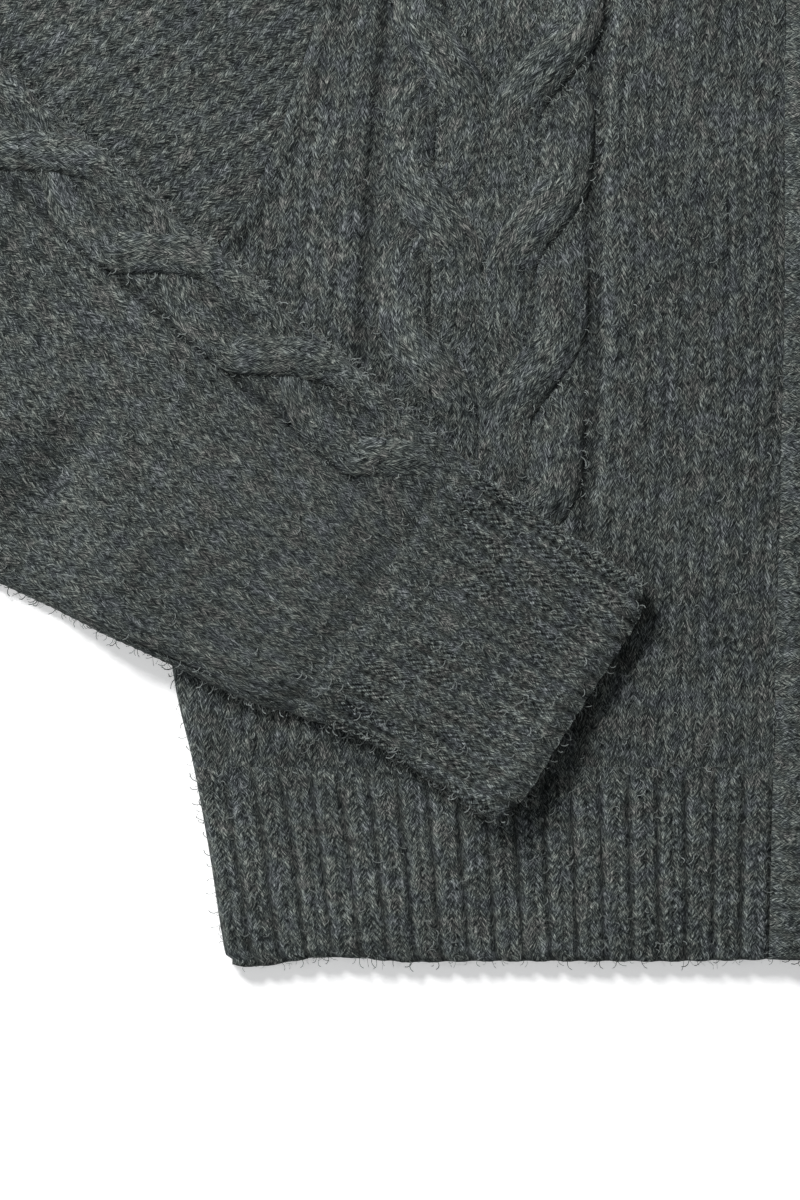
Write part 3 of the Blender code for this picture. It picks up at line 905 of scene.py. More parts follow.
def frontPanel(name, seamRows, sign):
    f = front

    def knots(h):
        outer, inner = readRows(channelRows, h, 1), readRows(channelRows, h, 2)
        return outer, inner, inner + f["columnsIn"] * knit["wale"] * f["columnWidening"]

    def waleX(a, h):
        outer, inner, seam = knots(h)
        left = outer + a * knit["wale"]
        cable = outer + (inner - outer) * a / f["cableColumns"]
        right = inner + (seam - inner) * (a - f["cableColumns"]) / f["columnsIn"]
        return np.where(a < 0, left, np.where(a < f["cableColumns"], cable, right))

    def columnOf(x, h):
        outer, inner, seam = knots(h)
        left = (x - outer) / knit["wale"]
        cable = f["cableColumns"] * (x - outer) / (inner - outer)
        right = f["cableColumns"] + f["columnsIn"] * (x - inner) / (seam - inner)
        return np.where(x < outer, left, np.where(x < inner, cable, right))

    def innerEdge(h):
        return -sign * readRows(seamRows, h)

    bottom = garment["ribHeight"] + garment["hairline"]
    last = f["cableColumns"] + f["columnsIn"] + f["columnsSpare"]
    a, b = stitchGrid((-f["columnsOut"], last), (-2, f["courses"]))
    h0 = bottom + b * knit["course"]
    x0 = waleX(a, h0)
    nearSide = np.minimum(x0 - outerEdge(h0), innerEdge(h0) - x0)
    shear = ease((nearSide - 2.0) / 8.0)
    b = b + knit["lean"] * spreadOf(a) * shear
    h = bottom + b * knit["course"]
    x = waleX(a, h)
    x = x + unevenness(f, "sway", x, h, 3) * shear
    x, h, toShoulder = clampFront(x, h, outerEdge, innerEdge)
    column, course = columnOf(x, h), (h - bottom) / knit["course"]
    toSide, toSeam = x - outerEdge(h), innerEdge(h) - x
    outer, inner, _ = knots(h)
    inCable = between(x, outer - 3.8, inner + 1.0, 2.0)
    plain, purl = plainStitch(column, course), purlStitch(column, course)
    channel = between(x, outer - 3.6, outer + 4.0, 1.8) + between(x, inner - 8.0, inner + 0.6, 1.8)
    ridge = f["innerRidge"] * bell(x - inner - 3.8, 2.8) + f["outerRidge"] * bell(x - outer + 6.0, 2.6)
    started = ease((h - bottom - 2.0) / f["groundStarts"])      # the cable's ground sinks above the rib
    ground = 0.65 * purl + (f["groundDepth"] + f["channelDepth"] * channel) * started
    depth = plain * (1 - inCable) + ground * inCable - ridge * started
    cover = forearmCover(x, h)
    wave = unevenness(f, "undulation", x, h, 5)
    wave = wave + unevenness(f, "ripple", x, h, 6)
    puff = f["puff"] * bell(h - bottom - 14.0, 12.0)
    aboveSeam = h > sideRows[-1][0]
    dip, dipWidth = joins["dip"], joins["dipWidth"]
    sideFall = np.where(aboveSeam, dip * bell(toSide, dipWidth), edgeFall(toSide, 4.5, 2.6))
    roll = f["armholeRoll"] * bell(toSide - 3.8, 2.8) - 0.3 * bell(toSide - 10.0, 2.8)
    roll = np.where(aboveSeam, roll, 0.0)
    fall = sideFall + dip * bell(toSeam, dipWidth) + edgeFall(toShoulder, 3.0, 1.4)
    free = (1 - f["pressed"] * cover) * ease(toSide / 8) * ease((h - bottom) / 6.0)
    raised = (wave + puff) * free + roll
    meet = ease((h - bottom) / 3.5) * ease(toSeam / 2.5)    # level with its neighbours where they join
    meet = meet * np.where(aboveSeam, ease(toSide / 2.5), 1.0)
    depth = depth * meet + joins["level"] * (1 - meet)
    z = layers["frontTop"] - depth - fall + raised
    z = np.maximum(z, layers["frontBottom"] + garment["leastWall"])
    # painted shade: darker with the depth of the stitches, the cable's ground and its channels
    shade = (depth - f["crest"]) / (f["darkest"] + f["groundDarkest"] * inCable)
    hollow = np.clip(shade + f["channelShade"] * channel * inCable * started, 0, 1)
    points = np.stack([x, h, z], axis=-1)
    if sign > 0:
        points[..., 0] *= -1
        points = points[:, ::-1]
        column, course, hollow = column[:, ::-1], course[:, ::-1], hollow[:, ::-1]
    return makeSkin(name, points, column, course, hollow, under=layers["frontBottom"])


frontPieces = {
    "right": frontPanel("frontRight", rightSeamRows, -1),
    "left": frontPanel("frontLeft", leftSeamRows, 1),
}
print("fronts knitted")


hem = {
    "ribs": 20,
    "backRibs": 42,
    "scallop": 0.25,
    "edgeUneven": 0.5,
    "edgeUnevenSize": 2.3,
    "cornerX": 206.0,       # where the hem's edge dips towards the side, how widely and how far
    "cornerWidth": 15.0,
    "cornerDip": 2.6,
    "wave": 0.9,            # slow waves of the hem's edge and their size
    "waveSize": 31.0,
    "coarse": 0.22,         # what makes one stitch differ from the next, and its size
    "coarseSize": 2.0,
    "sway": 0.35,
    "swaySize": 12.0,
    "swell": 0.3,
    "swellSize": 30.0,
    "late": 2.2,            # how far the ribs differ in where their grooves start, and how soon they deepen
    "deepens": 6.5,
    "crown": 0.6,
    # painted shade on the plain stretch at the top of the rib, the same as the front's where they join
    "topShade": 0.15,
    "coursesBelow": 2.0,    # spare rows below the edge, which the edge cuts off
    "backScallop": 0.15,    # share of that unevenness at the back, and how far its edge is drawn up
    "backUp": 0.3,
}


# the ribbed strip along the hem: one layer of it, between two edges
def hemRib(name, ribs, lowX, highX, bottomZ, topZ, isFront):
    height = garment["ribHeight"]
    courses = round(height / ribbing["course"])
    a, b = ribGrid(ribs, courses + 3, perCourse=2 if isFront else 1)
    b = b - hem["coursesBelow"]
    out = ribEdge(a)
    share = a / ribs
    inside = ease(np.minimum(a, ribs - a) / 0.8)
    b = b + knit["lean"] * out * inside * 0.8
    h = b * height / courses
    uneven = unevenness(hem, "edgeUneven", a, 0 * a, 9)
    scallop = hem["scallop"] * (out ** 2) + uneven
    if isFront:
        within = np.clip(h, 0, height)
        x0 = lowX(within) + (highX(within) - lowX(within)) * share
        corner = bell(np.abs(x0) - hem["cornerX"], hem["cornerWidth"])
        wave = unevenness(hem, "wave", x0, 0 * x0, 15)
        low = scallop - hem["cornerDip"] * corner + wave
    else:
        low = hem["backScallop"] * scallop + hem["backUp"]
    h = np.clip(h, low, height - garment["hairline"])
    x = lowX(h) + (highX(h) - lowX(h)) * share
    x = x + unevenness(hem, "sway", x, h, 10) * inside
    coarse = unevenness(hem, "coarse", a * 3, h, 11)
    depth = ribStitch(a, h / (height / courses)) + coarse
    late = hem["late"] * softNoise(np.floor(a), 0 * a, 1.0, garment["seed"] + 13)
    start = ease((height - h - 1.5 - late) / hem["deepens"])    # the grooves deepen below the plain knitting
    depth = depth * start + joins["level"] * (1 - start)
    fall = edgeFall(h - low, 2.4, 1.2)
    if isFront:
        side, seam = x - lowX(h), highX(h) - x
        if lowX(0.0) > -hem["cornerX"]:
            side, seam = seam, side
        fall = fall + edgeFall(side, 4.0, 2.4) + joins["dip"] * bell(seam, joins["dipWidth"])
    crown = (hem["crown"] if isFront else 0.0) * start
    swelling = unevenness(hem, "swell", x, h, 12) * inside * start
    z = topZ + crown - depth - fall + swelling
    z = np.maximum(z, bottomZ + garment["leastWall"])
    # painted shade in the grooves, and an even painted shade above where they start
    hollow = ribPaintedShade(depth) * start + hem["topShade"] * (1 - start)
    points = np.stack([x, h, z], axis=-1)
    return makeSkin(name, points, ribColumns(a), h / (height / courses), hollow, under=bottomZ)


def sideLeft(h):
    return -readRows(sideRows, h)


def sideRight(h):
    return readRows(sideRows, h)


def seamRight(h):
    return readRows(rightSeamRows, h)


def seamLeft(h):
    return readRows(leftSeamRows, h)


hemPieces = {
    "right": hemRib("hemRibRight", hem["ribs"], sideLeft, seamRight,
                    layers["frontBottom"], layers["frontTop"], True),
    "left": hemRib("hemRibLeft", hem["ribs"], seamLeft, sideRight,
                   layers["frontBottom"], layers["frontTop"], True),
    "back": hemRib("hemRibBack", hem["backRibs"], sideLeft, sideRight, 0.0, layers["backTop"], False),
}
print("hem ribs knitted")


# radius of the neck's curve at the back
def neckRadius():
    half, drop = garment["neckPoint"][0], garment["neckDrop"]
    return (half * half + drop * drop) / (2 * drop)


def neckLine(x):
    inside = np.clip(np.abs(x), 0, garment["neckPoint"][0])
    dip = neckRadius() - np.sqrt(neckRadius() ** 2 - inside ** 2)
    return garment["neckPoint"][1] - garment["neckDrop"] + dip


back = {
    "columns": 45,          # columns on each side of the middle
    "courses": 135,
    "uneven": 0.15,
    "unevenSize": 4.0,
    "darkest": 2.2,         # depth at which the painted shade is darkest
    "rim": 1.6,
}


def backPanel():
    bottom = garment["ribHeight"] + garment["hairline"]
    a, b = stitchGrid((-back["columns"], back["columns"]), (-1, back["courses"]), perColumn=2, perCourse=1)
    x, h = a * knit["wale"], bottom + b * knit["course"]
    for _ in range(3):
        top = np.where(np.abs(x) < garment["neckPoint"][0], neckLine(x), shoulderAt(-np.abs(x)))
        h = np.clip(h, bottom, top)
        x = np.clip(x, outerEdge(h), -outerEdge(h))
    column, course = x / knit["wale"] + 0.5, (h - bottom) / knit["course"]
    depth = knit["waleGroove"] * spreadOf(column) + unevenness(back, "uneven", x, h, -4)
    z = layers["backTop"] - depth - edgeFall(top - h, 3.0, 1.2)
    # painted shade in the grooves between columns
    hollow = np.clip(depth / back["darkest"], 0, 1)
    points = np.stack([x, h, z], axis=-1)
    return makeSkin("backPanel", points, column, course, hollow, under=0.0, rim=back["rim"])


backPiece = backPanel()
print("back knitted")


sleeveKnit = {
    "outColumns": 22,       # plain columns between the underarm and the cable
    "cableColumns": 6,
    "underColumns": 37,     # round the other side
    "farSteps": (0.0, 0.28, 0.72),      # places across a column on the side that is never seen close
    "course": 3.6,
    "length": 545.0,        # of knitting, before the armhole cuts it
    "undulation": 0.75,     # slow waves of the cloth and their size, and the same of smaller ones
    "undulationSize": 46.0,
    "ripple": 0.35,
    "rippleSize": 17.0,
    "puff": 0.8,            # how far the cloth stands up above the cuff
    "groundDepth": 0.25,    # how deep the cable's ground lies at the fold, and how much deeper inwards
    "groundFall": 0.75,
    "groundStarts": 18.0,
    "channelDepth": 1.1,
    "ridgeHeight": 0.4,
    "capRoll": 0.3,
    "crest": 0.25,          # depth at which the painted shade starts, and further depth to its darkest
    "darkest": 2.4,
}
# how strong the ridge, groove and lip of the forearm's lower edge are, and where up the arm they fade
lip = {
    "starts": 24.0,
    "ends": 225.0,
    "fades": 80.0,
    "creaseEnds": 118.0,
    "creaseFades": 45.0,
    "uneven": 0.25,
    "unevenSize": 21.0,
    "ridge": 0.4,           # the lasting part of the ridge and the part that the crease adds
    "ridgeCreased": 0.6,
    "slope": 0.9,
    "slopeCreased": 1.1,
    "groove": 1.2,
    "offFold": 5.0,
}
# the ridge along the forearm's lower edge: up the arm, distance in from the edge
ridgeRows = [
    (0.0, 16.0),
    (55.0, 15.5),
    (86.0, 11.8),
    (132.0, 8.5),
    (192.0, 9.0),
    (300.0, 10.0),
]


# what the cloth of the forearm does along its lower edge: a ridge, a groove and a lip
def lowerLip(s, way):
    ridge = readRows(ridgeRows, s)
    strength = ease((s - lip["starts"]) / 30.0) * (1 - ease((s - lip["ends"]) / lip["fades"]))
    uneven = 1 + unevenness(lip, "uneven", s, 0 * s, 20)
    creased = 1 - ease((s - lip["creaseEnds"]) / lip["creaseFades"])    # the crease fades out up the arm
    ridged = (lip["ridge"] + lip["ridgeCreased"] * creased) * bell(way - ridge - 1.5, 3.4)
    groove = lip["groove"] * creased * bell(way - ridge + 3.4, 2.4)
    slope = (lip["slope"] + lip["slopeCreased"] * creased) * ease((ridge - 1.0 - way) / (0.8 * ridge))
    return (ridged - groove - slope) * strength * uneven


# the same on the side that shows; it starts off the fold
def lipAt(s, share, way):
    return lowerLip(s, way) * (share <= 1) * ease(way / lip["offFold"])


def sleeveSkin():
    k = sleeveKnit
    nearColumns = k["outColumns"] + k["cableColumns"]
    total = nearColumns + k["underColumns"]
    rows = int(k["length"] / k["course"])
    near = np.arange(nearColumns * 4) / 4
    far = [column + step for column in range(nearColumns, total) for step in k["farSteps"]]
    a, b = np.meshgrid(np.concatenate([near, far, [total]]), np.arange(-4, rows * 2 + 1) / 2)
    start = sleeve["cuffLength"] + garment["hairline"]
    b = b + knit["lean"] * spreadOf(a)

    def shareOf(a, s):
        half = halfRound(s)
        zone = (sleeve["cableZone"] - cableTuck(s) - sleeve["edgeRound"] + quarterRound()) / half
        out = (1 - zone) * a / k["outColumns"]
        cable = 1 - zone + zone * (a - k["outColumns"]) / k["cableColumns"]
        under = 1 + (a - nearColumns) / k["underColumns"]
        return np.where(a < k["outColumns"], out, np.where(a < nearColumns, cable, under))

    reach = np.full(a.shape[1], sleeve["capGuess"])
    for _ in range(4):
        reach = capReach(shareOf(a[0], reach))
    s = np.clip(start + b * k["course"], start, reach[None, :])
    share = shareOf(a, s)
    course = (s - start) / k["course"]
    way = np.where(share <= 1, share, 2 - share) * halfRound(s)
    onFront = share <= 1
    cableGround = onFront & (a >= k["outColumns"]) & (a <= nearColumns)
    toCap, toCuff = reach[None, :] - s, s - start
    fromTop = halfRound(s) - way
    started = ease((toCuff - 4.0) / k["groundStarts"])
    sunk = k["groundDepth"] + k["groundFall"] * ease(fromTop / 12.0) * started
    depth = np.where(cableGround, 0.65 * purlStitch(a, course) + sunk, plainStitch(a, course))
    fromChannel = fromTop - sleeve["cableZone"]
    channel = k["channelDepth"] * bell(fromChannel + 1.2, 1.8)
    ridged = k["ridgeHeight"] * bell(fromChannel - 3.2, 2.5)
    depth = depth + (channel - ridged) * onFront * started
    wave = unevenness(k, "undulation", s, way, 21)
    wave = wave + unevenness(k, "ripple", s, way, 22)
    puff = k["puff"] * bell(toCuff - 16.0, 14.0) * ease(toCuff / 8.0)
    capRoll = k["capRoll"] * (bell(toCap - 3.2, 2.4) - bell(toCap - 8.5, 2.6))
    step = sleeve["tube"] - layers["frontTop"]          # the flat sleeve is a little thicker than the front
    atCap = joins["dip"] * bell(toCap, joins["dipWidth"]) + step * bell(toCap, 5.0)
    calm = ease(toCuff / 10.0) * ease(toCap / 10.0)
    meet = ease(toCuff / 5.0) * ease(toCap / 2.5)
    depth = depth * meet + joins["level"] * (1 - meet)
    raised = wave * calm + puff + lipAt(s, share, way) + (capRoll - atCap) - depth
    points = skinPoint(s, share, raised)
    # painted shade, darker with depth
    hollow = np.clip((depth - k["crest"]) / k["darkest"], 0, 1)
    return points, a, course, hollow


# a sleeve or cuff from its grid
def addTube(name, grid, mirror):
    points, u, v, hollow = grid
    points = points.copy()
    if mirror:
        points[..., 0] *= -1
        points, u, v, hollow = points[:, ::-1], u[:, ::-1], v[:, ::-1], hollow[:, ::-1]
    return makeSkin(name, points, u, v, hollow)


sleeveGrid = sleeveSkin()
sleevePieces = {
    "right": addTube("sleeveRight", sleeveGrid, False),
    "left": addTube("sleeveLeft", sleeveGrid, True),
}
print("sleeves knitted")


cuff = {
    "ribs": 13,
    "course": 3.0,
    "turnIn": 24.0,
    "wallInset": 2.7,
    "relief": 0.80,
    "foldRelief": 0.34,     # more relief in the ribs next to the top fold
    # strength of the painted shade in the grooves between the ribs
    "shade": 1.2,
    "bow": 3.0,             # how far the worn end bows out
    "corner": 6.5,          # how far its top corner draws back
    "lowCorner": 3.0,
    "insideRows": (14.0, 6.0, 2.0),             # rows of the turned-in wall, besides its end
    "turnRows": ((0.55, 2.1), (0.0, 1.3)),      # and round the worn edge: distance in, inset
    # painted shade on the turned-in wall inside the cuff
    "insideShade": 0.3,
    "late": 3.0,            # how far the ribs differ in where their grooves start, and how soon they deepen
    "deepens": 15.0,
    "shallow": 0.25,        # share of a groove's depth next to the sleeve
    "scallop": 0.3,
    "edgeUneven": 0.5,
    "edgeUnevenSize": 2.3,
    "coarse": 0.22,
    "coarseSize": 2.0,
    "wave": 0.35,
    "waveSize": 30.0,
    "puff": 0.4,
    "flare": 1.1,           # how far the worn end stands up, and how much further near the lower corner
    "lowFlare": 2.2,
}


def cuffSkin():
    ribs = cuff["ribs"] * 2
    courses = round(sleeve["cuffLength"] / cuff["course"])
    inside = [(along, cuff["wallInset"]) for along in (cuff["turnIn"], *cuff["insideRows"])]
    hidden = [*inside, *cuff["turnRows"]]
    a, b = ribGrid(ribs, courses)
    spread = ribEdge(a)
    b = b + knit["lean"] * spread * ease(b / 2.0) * ease((courses - b) / 1.5)
    s = np.minimum(b * cuff["course"], sleeve["cuffLength"] - garment["hairline"])
    inset = np.zeros_like(s)
    late = cuff["late"] * softNoise(np.floor(a), 0 * a, 1.0, garment["seed"] + 33)
    start = ease((sleeve["cuffLength"] - s - 2.5 - late) / cuff["deepens"])
    fromFold = np.abs(a / cuff["ribs"] - 1) * 100.0
    relief = cuff["relief"] * (1 + 0.5 * softNoise(a * 7.5, s, 17.0, garment["seed"] + 34))
    relief = relief + cuff["foldRelief"] * bell(fromFold, 24.0)
    stitch = ribStitch(a, b)
    # painted shade in the ribs' grooves, weaker where the grooves start and where the relief is low
    shown = (0.3 + 0.7 * start) * np.clip(relief / cuff["relief"], 0.3, 1.3)
    shade = ribPaintedShade(stitch) * shown * cuff["shade"]
    depth = stitch * (cuff["shallow"] + (1 - cuff["shallow"]) * start) * relief
    depth = depth + unevenness(cuff, "coarse", a * 3, s, 30)
    meet = ease((sleeve["cuffLength"] - s) / 3.0)
    shade = shade * meet
    depth = depth * meet + joins["level"] * (1 - meet)
    for step, (along, deep) in enumerate(hidden):
        row = np.full((1, a.shape[1]), along)
        s = np.insert(s, step, row, axis=0)
        inset = np.insert(inset, step, np.full((1, a.shape[1]), deep), axis=0)
        depth = np.insert(depth, step, depth[step:step + 1] * 0.3, axis=0)
        # the turned-in rows carry the inside's painted shade
        shade = np.insert(shade, step, np.full((1, a.shape[1]), cuff["insideShade"]), axis=0)
        b = np.insert(b, step, row / cuff["course"], axis=0)
    a = np.repeat(a[:1], s.shape[0], axis=0)
    outside = np.arange(s.shape[0])[:, None] >= len(hidden)
    uneven = unevenness(cuff, "edgeUneven", a, 0 * a, 31)
    s = s + (cuff["scallop"] * spread[0][None, :] ** 2 + uneven) * bell(s, 6.0)
    share = a / cuff["ribs"]
    way = np.where(share <= 1, share, 2 - share) * halfRound(s)
    upper = cuff["corner"] * bell(halfRound(s) - way, 7.2) * bell(s, 17.0)
    lower = cuff["lowCorner"] * bell(way, 9.0) * bell(s, 8.0)
    s = s + lower + upper - cuff["bow"] * bell(s, 22.0)
    wave = unevenness(cuff, "wave", s, way, 32) * ease(s / 20)
    atEnd = edgeFall(s, 3.5, 1.6) * outside
    toSleeve = sleeve["cuffLength"] - garment["hairline"] - s
    flare = bell(s, 16.0) * (cuff["flare"] + cuff["lowFlare"] * bell(way - 12.0, 40.0)) * (share <= 1)
    free = (cuff["puff"] + wave) * ease(toSleeve / 8.0) + flare + lipAt(s, share, way) * ease(s / 30.0)
    raised = np.where(outside, free, 0.0) - depth - atEnd
    points = np.stack([skinPoint(s[k], share[k], raised[k], inset[k, 0]) for k in range(s.shape[0])])
    return points, ribColumns(a), b, shade


cuffGrid = cuffSkin()
cuffPieces = {
    "right": addTube("cuffRight", cuffGrid, False),
    "left": addTube("cuffLeft", cuffGrid, True),
}
print("cuffs knitted")


band = {
    "ribs": 58,
    "width": 44.0,
    "course": 2.95,
    "overlapEnds": (445.0, 500.0),
    "scallop": 0.8,
    "square": 10.0,         # height over which the bottom end turns square to the seam
    "coarse": 0.2,          # what makes one stitch differ from the next, and its size
    "coarseSize": 1.6,
    "deepens": 10.0,        # distance from the seam at which the grooves are at their deepest
    "shallow": 0.1,         # share of a groove's depth at the seam, and the share gained from there
    "gained": 0.75,
    "sewn": 3.0,            # width of the stretch next to the seam that lies level with the knitting
    "stands": 0.3,          # how far the band stands above the plain knitting
    "leastWall": 0.3,
}
# how far the upper band lifts over the lower one, by the distance from its seam: underside and face
bandStepRows = [
    (0.0, 0.0, 0.0),
    (1.0, 0.0, 0.05),
    (5.5, 3.3, 1.5),
    (13.0, 3.3, 2.8),
    (24.0, 3.3, 3.3),
    (44.0, 3.3, 3.3),
]


def bandSkin(name, seamRows, sign, lifted):
    courses = round(band["width"] / band["course"])
    a, b = ribGrid(band["ribs"], courses)
    across = b / courses * band["width"]
    length = garment["neckPoint"][1]
    along = a / band["ribs"] * length
    across = across - band["scallop"] * ribEdge(a) ** 2 * bell(band["width"] - across, 3.0)
    ahead, behind = np.minimum(along + 2, length), np.maximum(along - 2, 0)
    lean = (readRows(seamRows, ahead) - readRows(seamRows, behind)) / (ahead - behind)
    run = np.sqrt(1 + lean * lean)
    square = 1 - ease(along / band["square"])
    x = readRows(seamRows, along) - sign * (2 * garment["hairline"] + across / run)
    h = along + sign * lean / run * (1 - square) * across
    lift = readRows(bandStepRows, across) * lifted
    faceLift = readRows(bandStepRows, across, 2) * lifted
    first, last = band["overlapEnds"]
    rise = 1 - ease((along - first) / (last - first))
    deep = ease(across / band["deepens"])
    coarse = unevenness(band, "coarse", a * 3, b, 34)
    depth = ribStitch(a, b) * (band["shallow"] + band["gained"] * deep) + coarse
    meet = ease(across / band["sewn"])
    depth = depth * meet + joins["level"] * (1 - meet)
    fall = joins["dip"] * bell(across, joins["dipWidth"]) + edgeFall(band["width"] - across, 3.0, 1.8)
    fall = fall + edgeFall(along, 2.5, 1.5)
    z = layers["frontTop"] + band["stands"] * meet + faceLift * rise - depth - fall
    bottom = layers["frontBottom"] + lift * rise
    z = np.maximum(z, bottom + band["leastWall"])
    points = np.stack([x, h, z], axis=-1)
    # painted shade in the grooves, fading towards the seam
    hollow = ribPaintedShade(depth + 0.35) * (0.2 + 0.8 * deep)
    u, v = ribColumns(a), b
    if sign > 0:
        points, u, v, hollow = points[:, ::-1], u[:, ::-1], v[:, ::-1], hollow[:, ::-1]
    return closeBelow(name, points, u, v, hollow, bottom if sign < 0 else bottom[:, ::-1])


# a skin with its own underside, for cloth that isn't flat below
def closeBelow(name, top, u, v, hollow, bottom):
    rows, columns = top.shape[:2]
    low = top.copy()
    low[..., 2] = bottom
    keep = np.linspace(0, rows - 1, skin["underRows"]).round().astype(int)
    number = np.arange(rows * columns).reshape(rows, columns)
    lower = rows * columns + np.arange(len(keep) * columns).reshape(len(keep), columns)
    quads = [np.roll(gridQuads(number)[:, ::-1], 1, axis=1), gridQuads(lower)]
    points = np.concatenate([top.reshape(-1, 3), low[keep].reshape(-1, 3)])
    shade, across, along = [np.concatenate([grid.ravel(), grid[keep].ravel()]) for grid in (hollow, u, v)]
    coords = np.stack([across, along], axis=1)
    for first, second in ((0, 0), (rows - 1, len(keep) - 1)):
        edge, under = number[first], lower[second]
        wall = np.stack([edge[:-1], edge[1:], under[1:], under[:-1]], axis=-1)
        quads.append(wall if first == 0 else wall[:, ::-1])
    faces = [list(q) for q in np.concatenate(quads)]
    for column, flip in ((0, True), (columns - 1, False)):
        ring = list(number[:, column]) + list(lower[::-1, column])
        faces.append(ring if not flip else ring[::-1])
    uv = np.concatenate([coords[face] for face in faces])
    return buildMesh(name, points, faces, uv, shade, wool)


bandPieces = {
    "right": bandSkin("bandRight", rightSeamRows, -1, 1.0),
    "left": bandSkin("bandLeft", leftSeamRows, 1, 0.0),
}


neck = {
    "ribs": 17,
    "courses": 13,
    "width": 36.0,
    "halfWidth": 41.5,      # half the width of its free edge
    "endRise": 13.5,        # how far that edge's ends lie above the neck points
    "gap": 0.3,             # between it and the back
    "relief": 0.8,
    "stands": 0.3,
    "leastWall": 0.3,
}


def neckBand():
    a, b = ribGrid(neck["ribs"], neck["courses"])
    radius = neckRadius()
    swing = np.arcsin(garment["neckPoint"][0] / radius)
    way = a / neck["ribs"] * 2 - 1
    sewnLine = garment["neckPoint"][1] - garment["neckDrop"] + radius * (1 - np.cos(way * swing))
    low = np.stack([radius * np.sin(way * swing), sewnLine + neck["gap"]], -1)
    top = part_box("neckband")[1].y / mm - hemLevel
    rise = top - (garment["neckPoint"][1] + neck["endRise"])
    high = np.stack([neck["halfWidth"] * way, top - rise * way ** 2], -1)
    share = b / neck["courses"]
    place = low + (high - low) * share[..., None]
    depth = ribStitch(a, b) * neck["relief"]
    across = share * neck["width"]
    fall = edgeFall(across, 2.0, 1.0) + edgeFall(neck["width"] - across, 3.0, 1.6)
    z = np.maximum(layers["backTop"] + neck["stands"] - depth - fall, neck["leastWall"])
    points = np.concatenate([place, z[..., None]], axis=-1)
    # painted shade in the grooves between the ribs
    u, hollow = ribColumns(a), ribPaintedShade(depth)
    return closeBelow("neckRib", points[:, ::-1], u[:, ::-1], b[:, ::-1], hollow[:, ::-1], 0.0)


neckPiece = neckBand()
print("bands knitted")


frontCable = {
    "centreShift": -0.4,
    "outer": 28.4,          # middle of an outer strand, from the cable's middle line
    "inner": 9.2,
    "halfWidth": 10.2,
    "repeat": 55.3,
    "firstBottom": 249.0,   # height of one U's bottom
    "rightLower": 3.5,      # how much lower the right arms of the U shapes lie
    "crossing": 37.0,
    "overLift": 2.3,        # crest above the plain knitting, along each stretch of a strand
    "outerLift": 2.0,
    "innerLift": 0.5,
    "underLift": -0.2,
    "edgeDepth": 1.7,       # how far a strand's edges lie below it, and the same where it runs flat
    "flatDepth": 0.7,
    "paleCrest": 0.30,      # painted highlight: how much paler the yarn is where a strand lies high
    "pocket": 0.45,         # painted shade: how dark a strand's inner side is where it comes out from under another
    "relief": 0.7,
    "columns": 4,
    "course": 3.7,
    "winding": 1.04,        # a strand's length for each unit of height
    "highest": 530.0,
    "ends": (15.0, 15.0),   # lengths over which a strand sinks in at its ends, and how far it sinks
    "endDepth": 1.4,
    "covered": 0.3,         # how far it may stand up under a forearm
}


# a strand's own grid, and where each of its points lies along and across it
def strandGrid(c, height, number):
    columns, rows = c["columns"], int(height * c["winding"] / c["course"] * 2)
    a, b = stitchGrid((0, columns), (0, rows / 2))
    edge = np.minimum(a, columns - a)
    b = b + knit["lean"] * 0.8 * spreadOf(a) * ease(edge / 0.5)
    b = np.clip(b, 0, rows / 2)
    way = b / (rows / 2)
    v = a / columns * 2 - 1
    arch = np.clip(1 - np.abs(v) ** 2.3, 0, 1)
    a, b = a + number * (columns + 3), b + number * 23    # no two strands have the same yarn
    return way, v, arch, plainStitch(a, b), a, b


# a strand's surface between its edges and its crest; its outermost points go down into the cloth
def strandFace(c, v, arch, depth, ground, crest):
    skirt = 1.2 * (np.abs(v) >= 0.999)
    return ground + (crest - ground) * arch - c["relief"] * depth * (0.5 + 0.5 * arch) - skirt


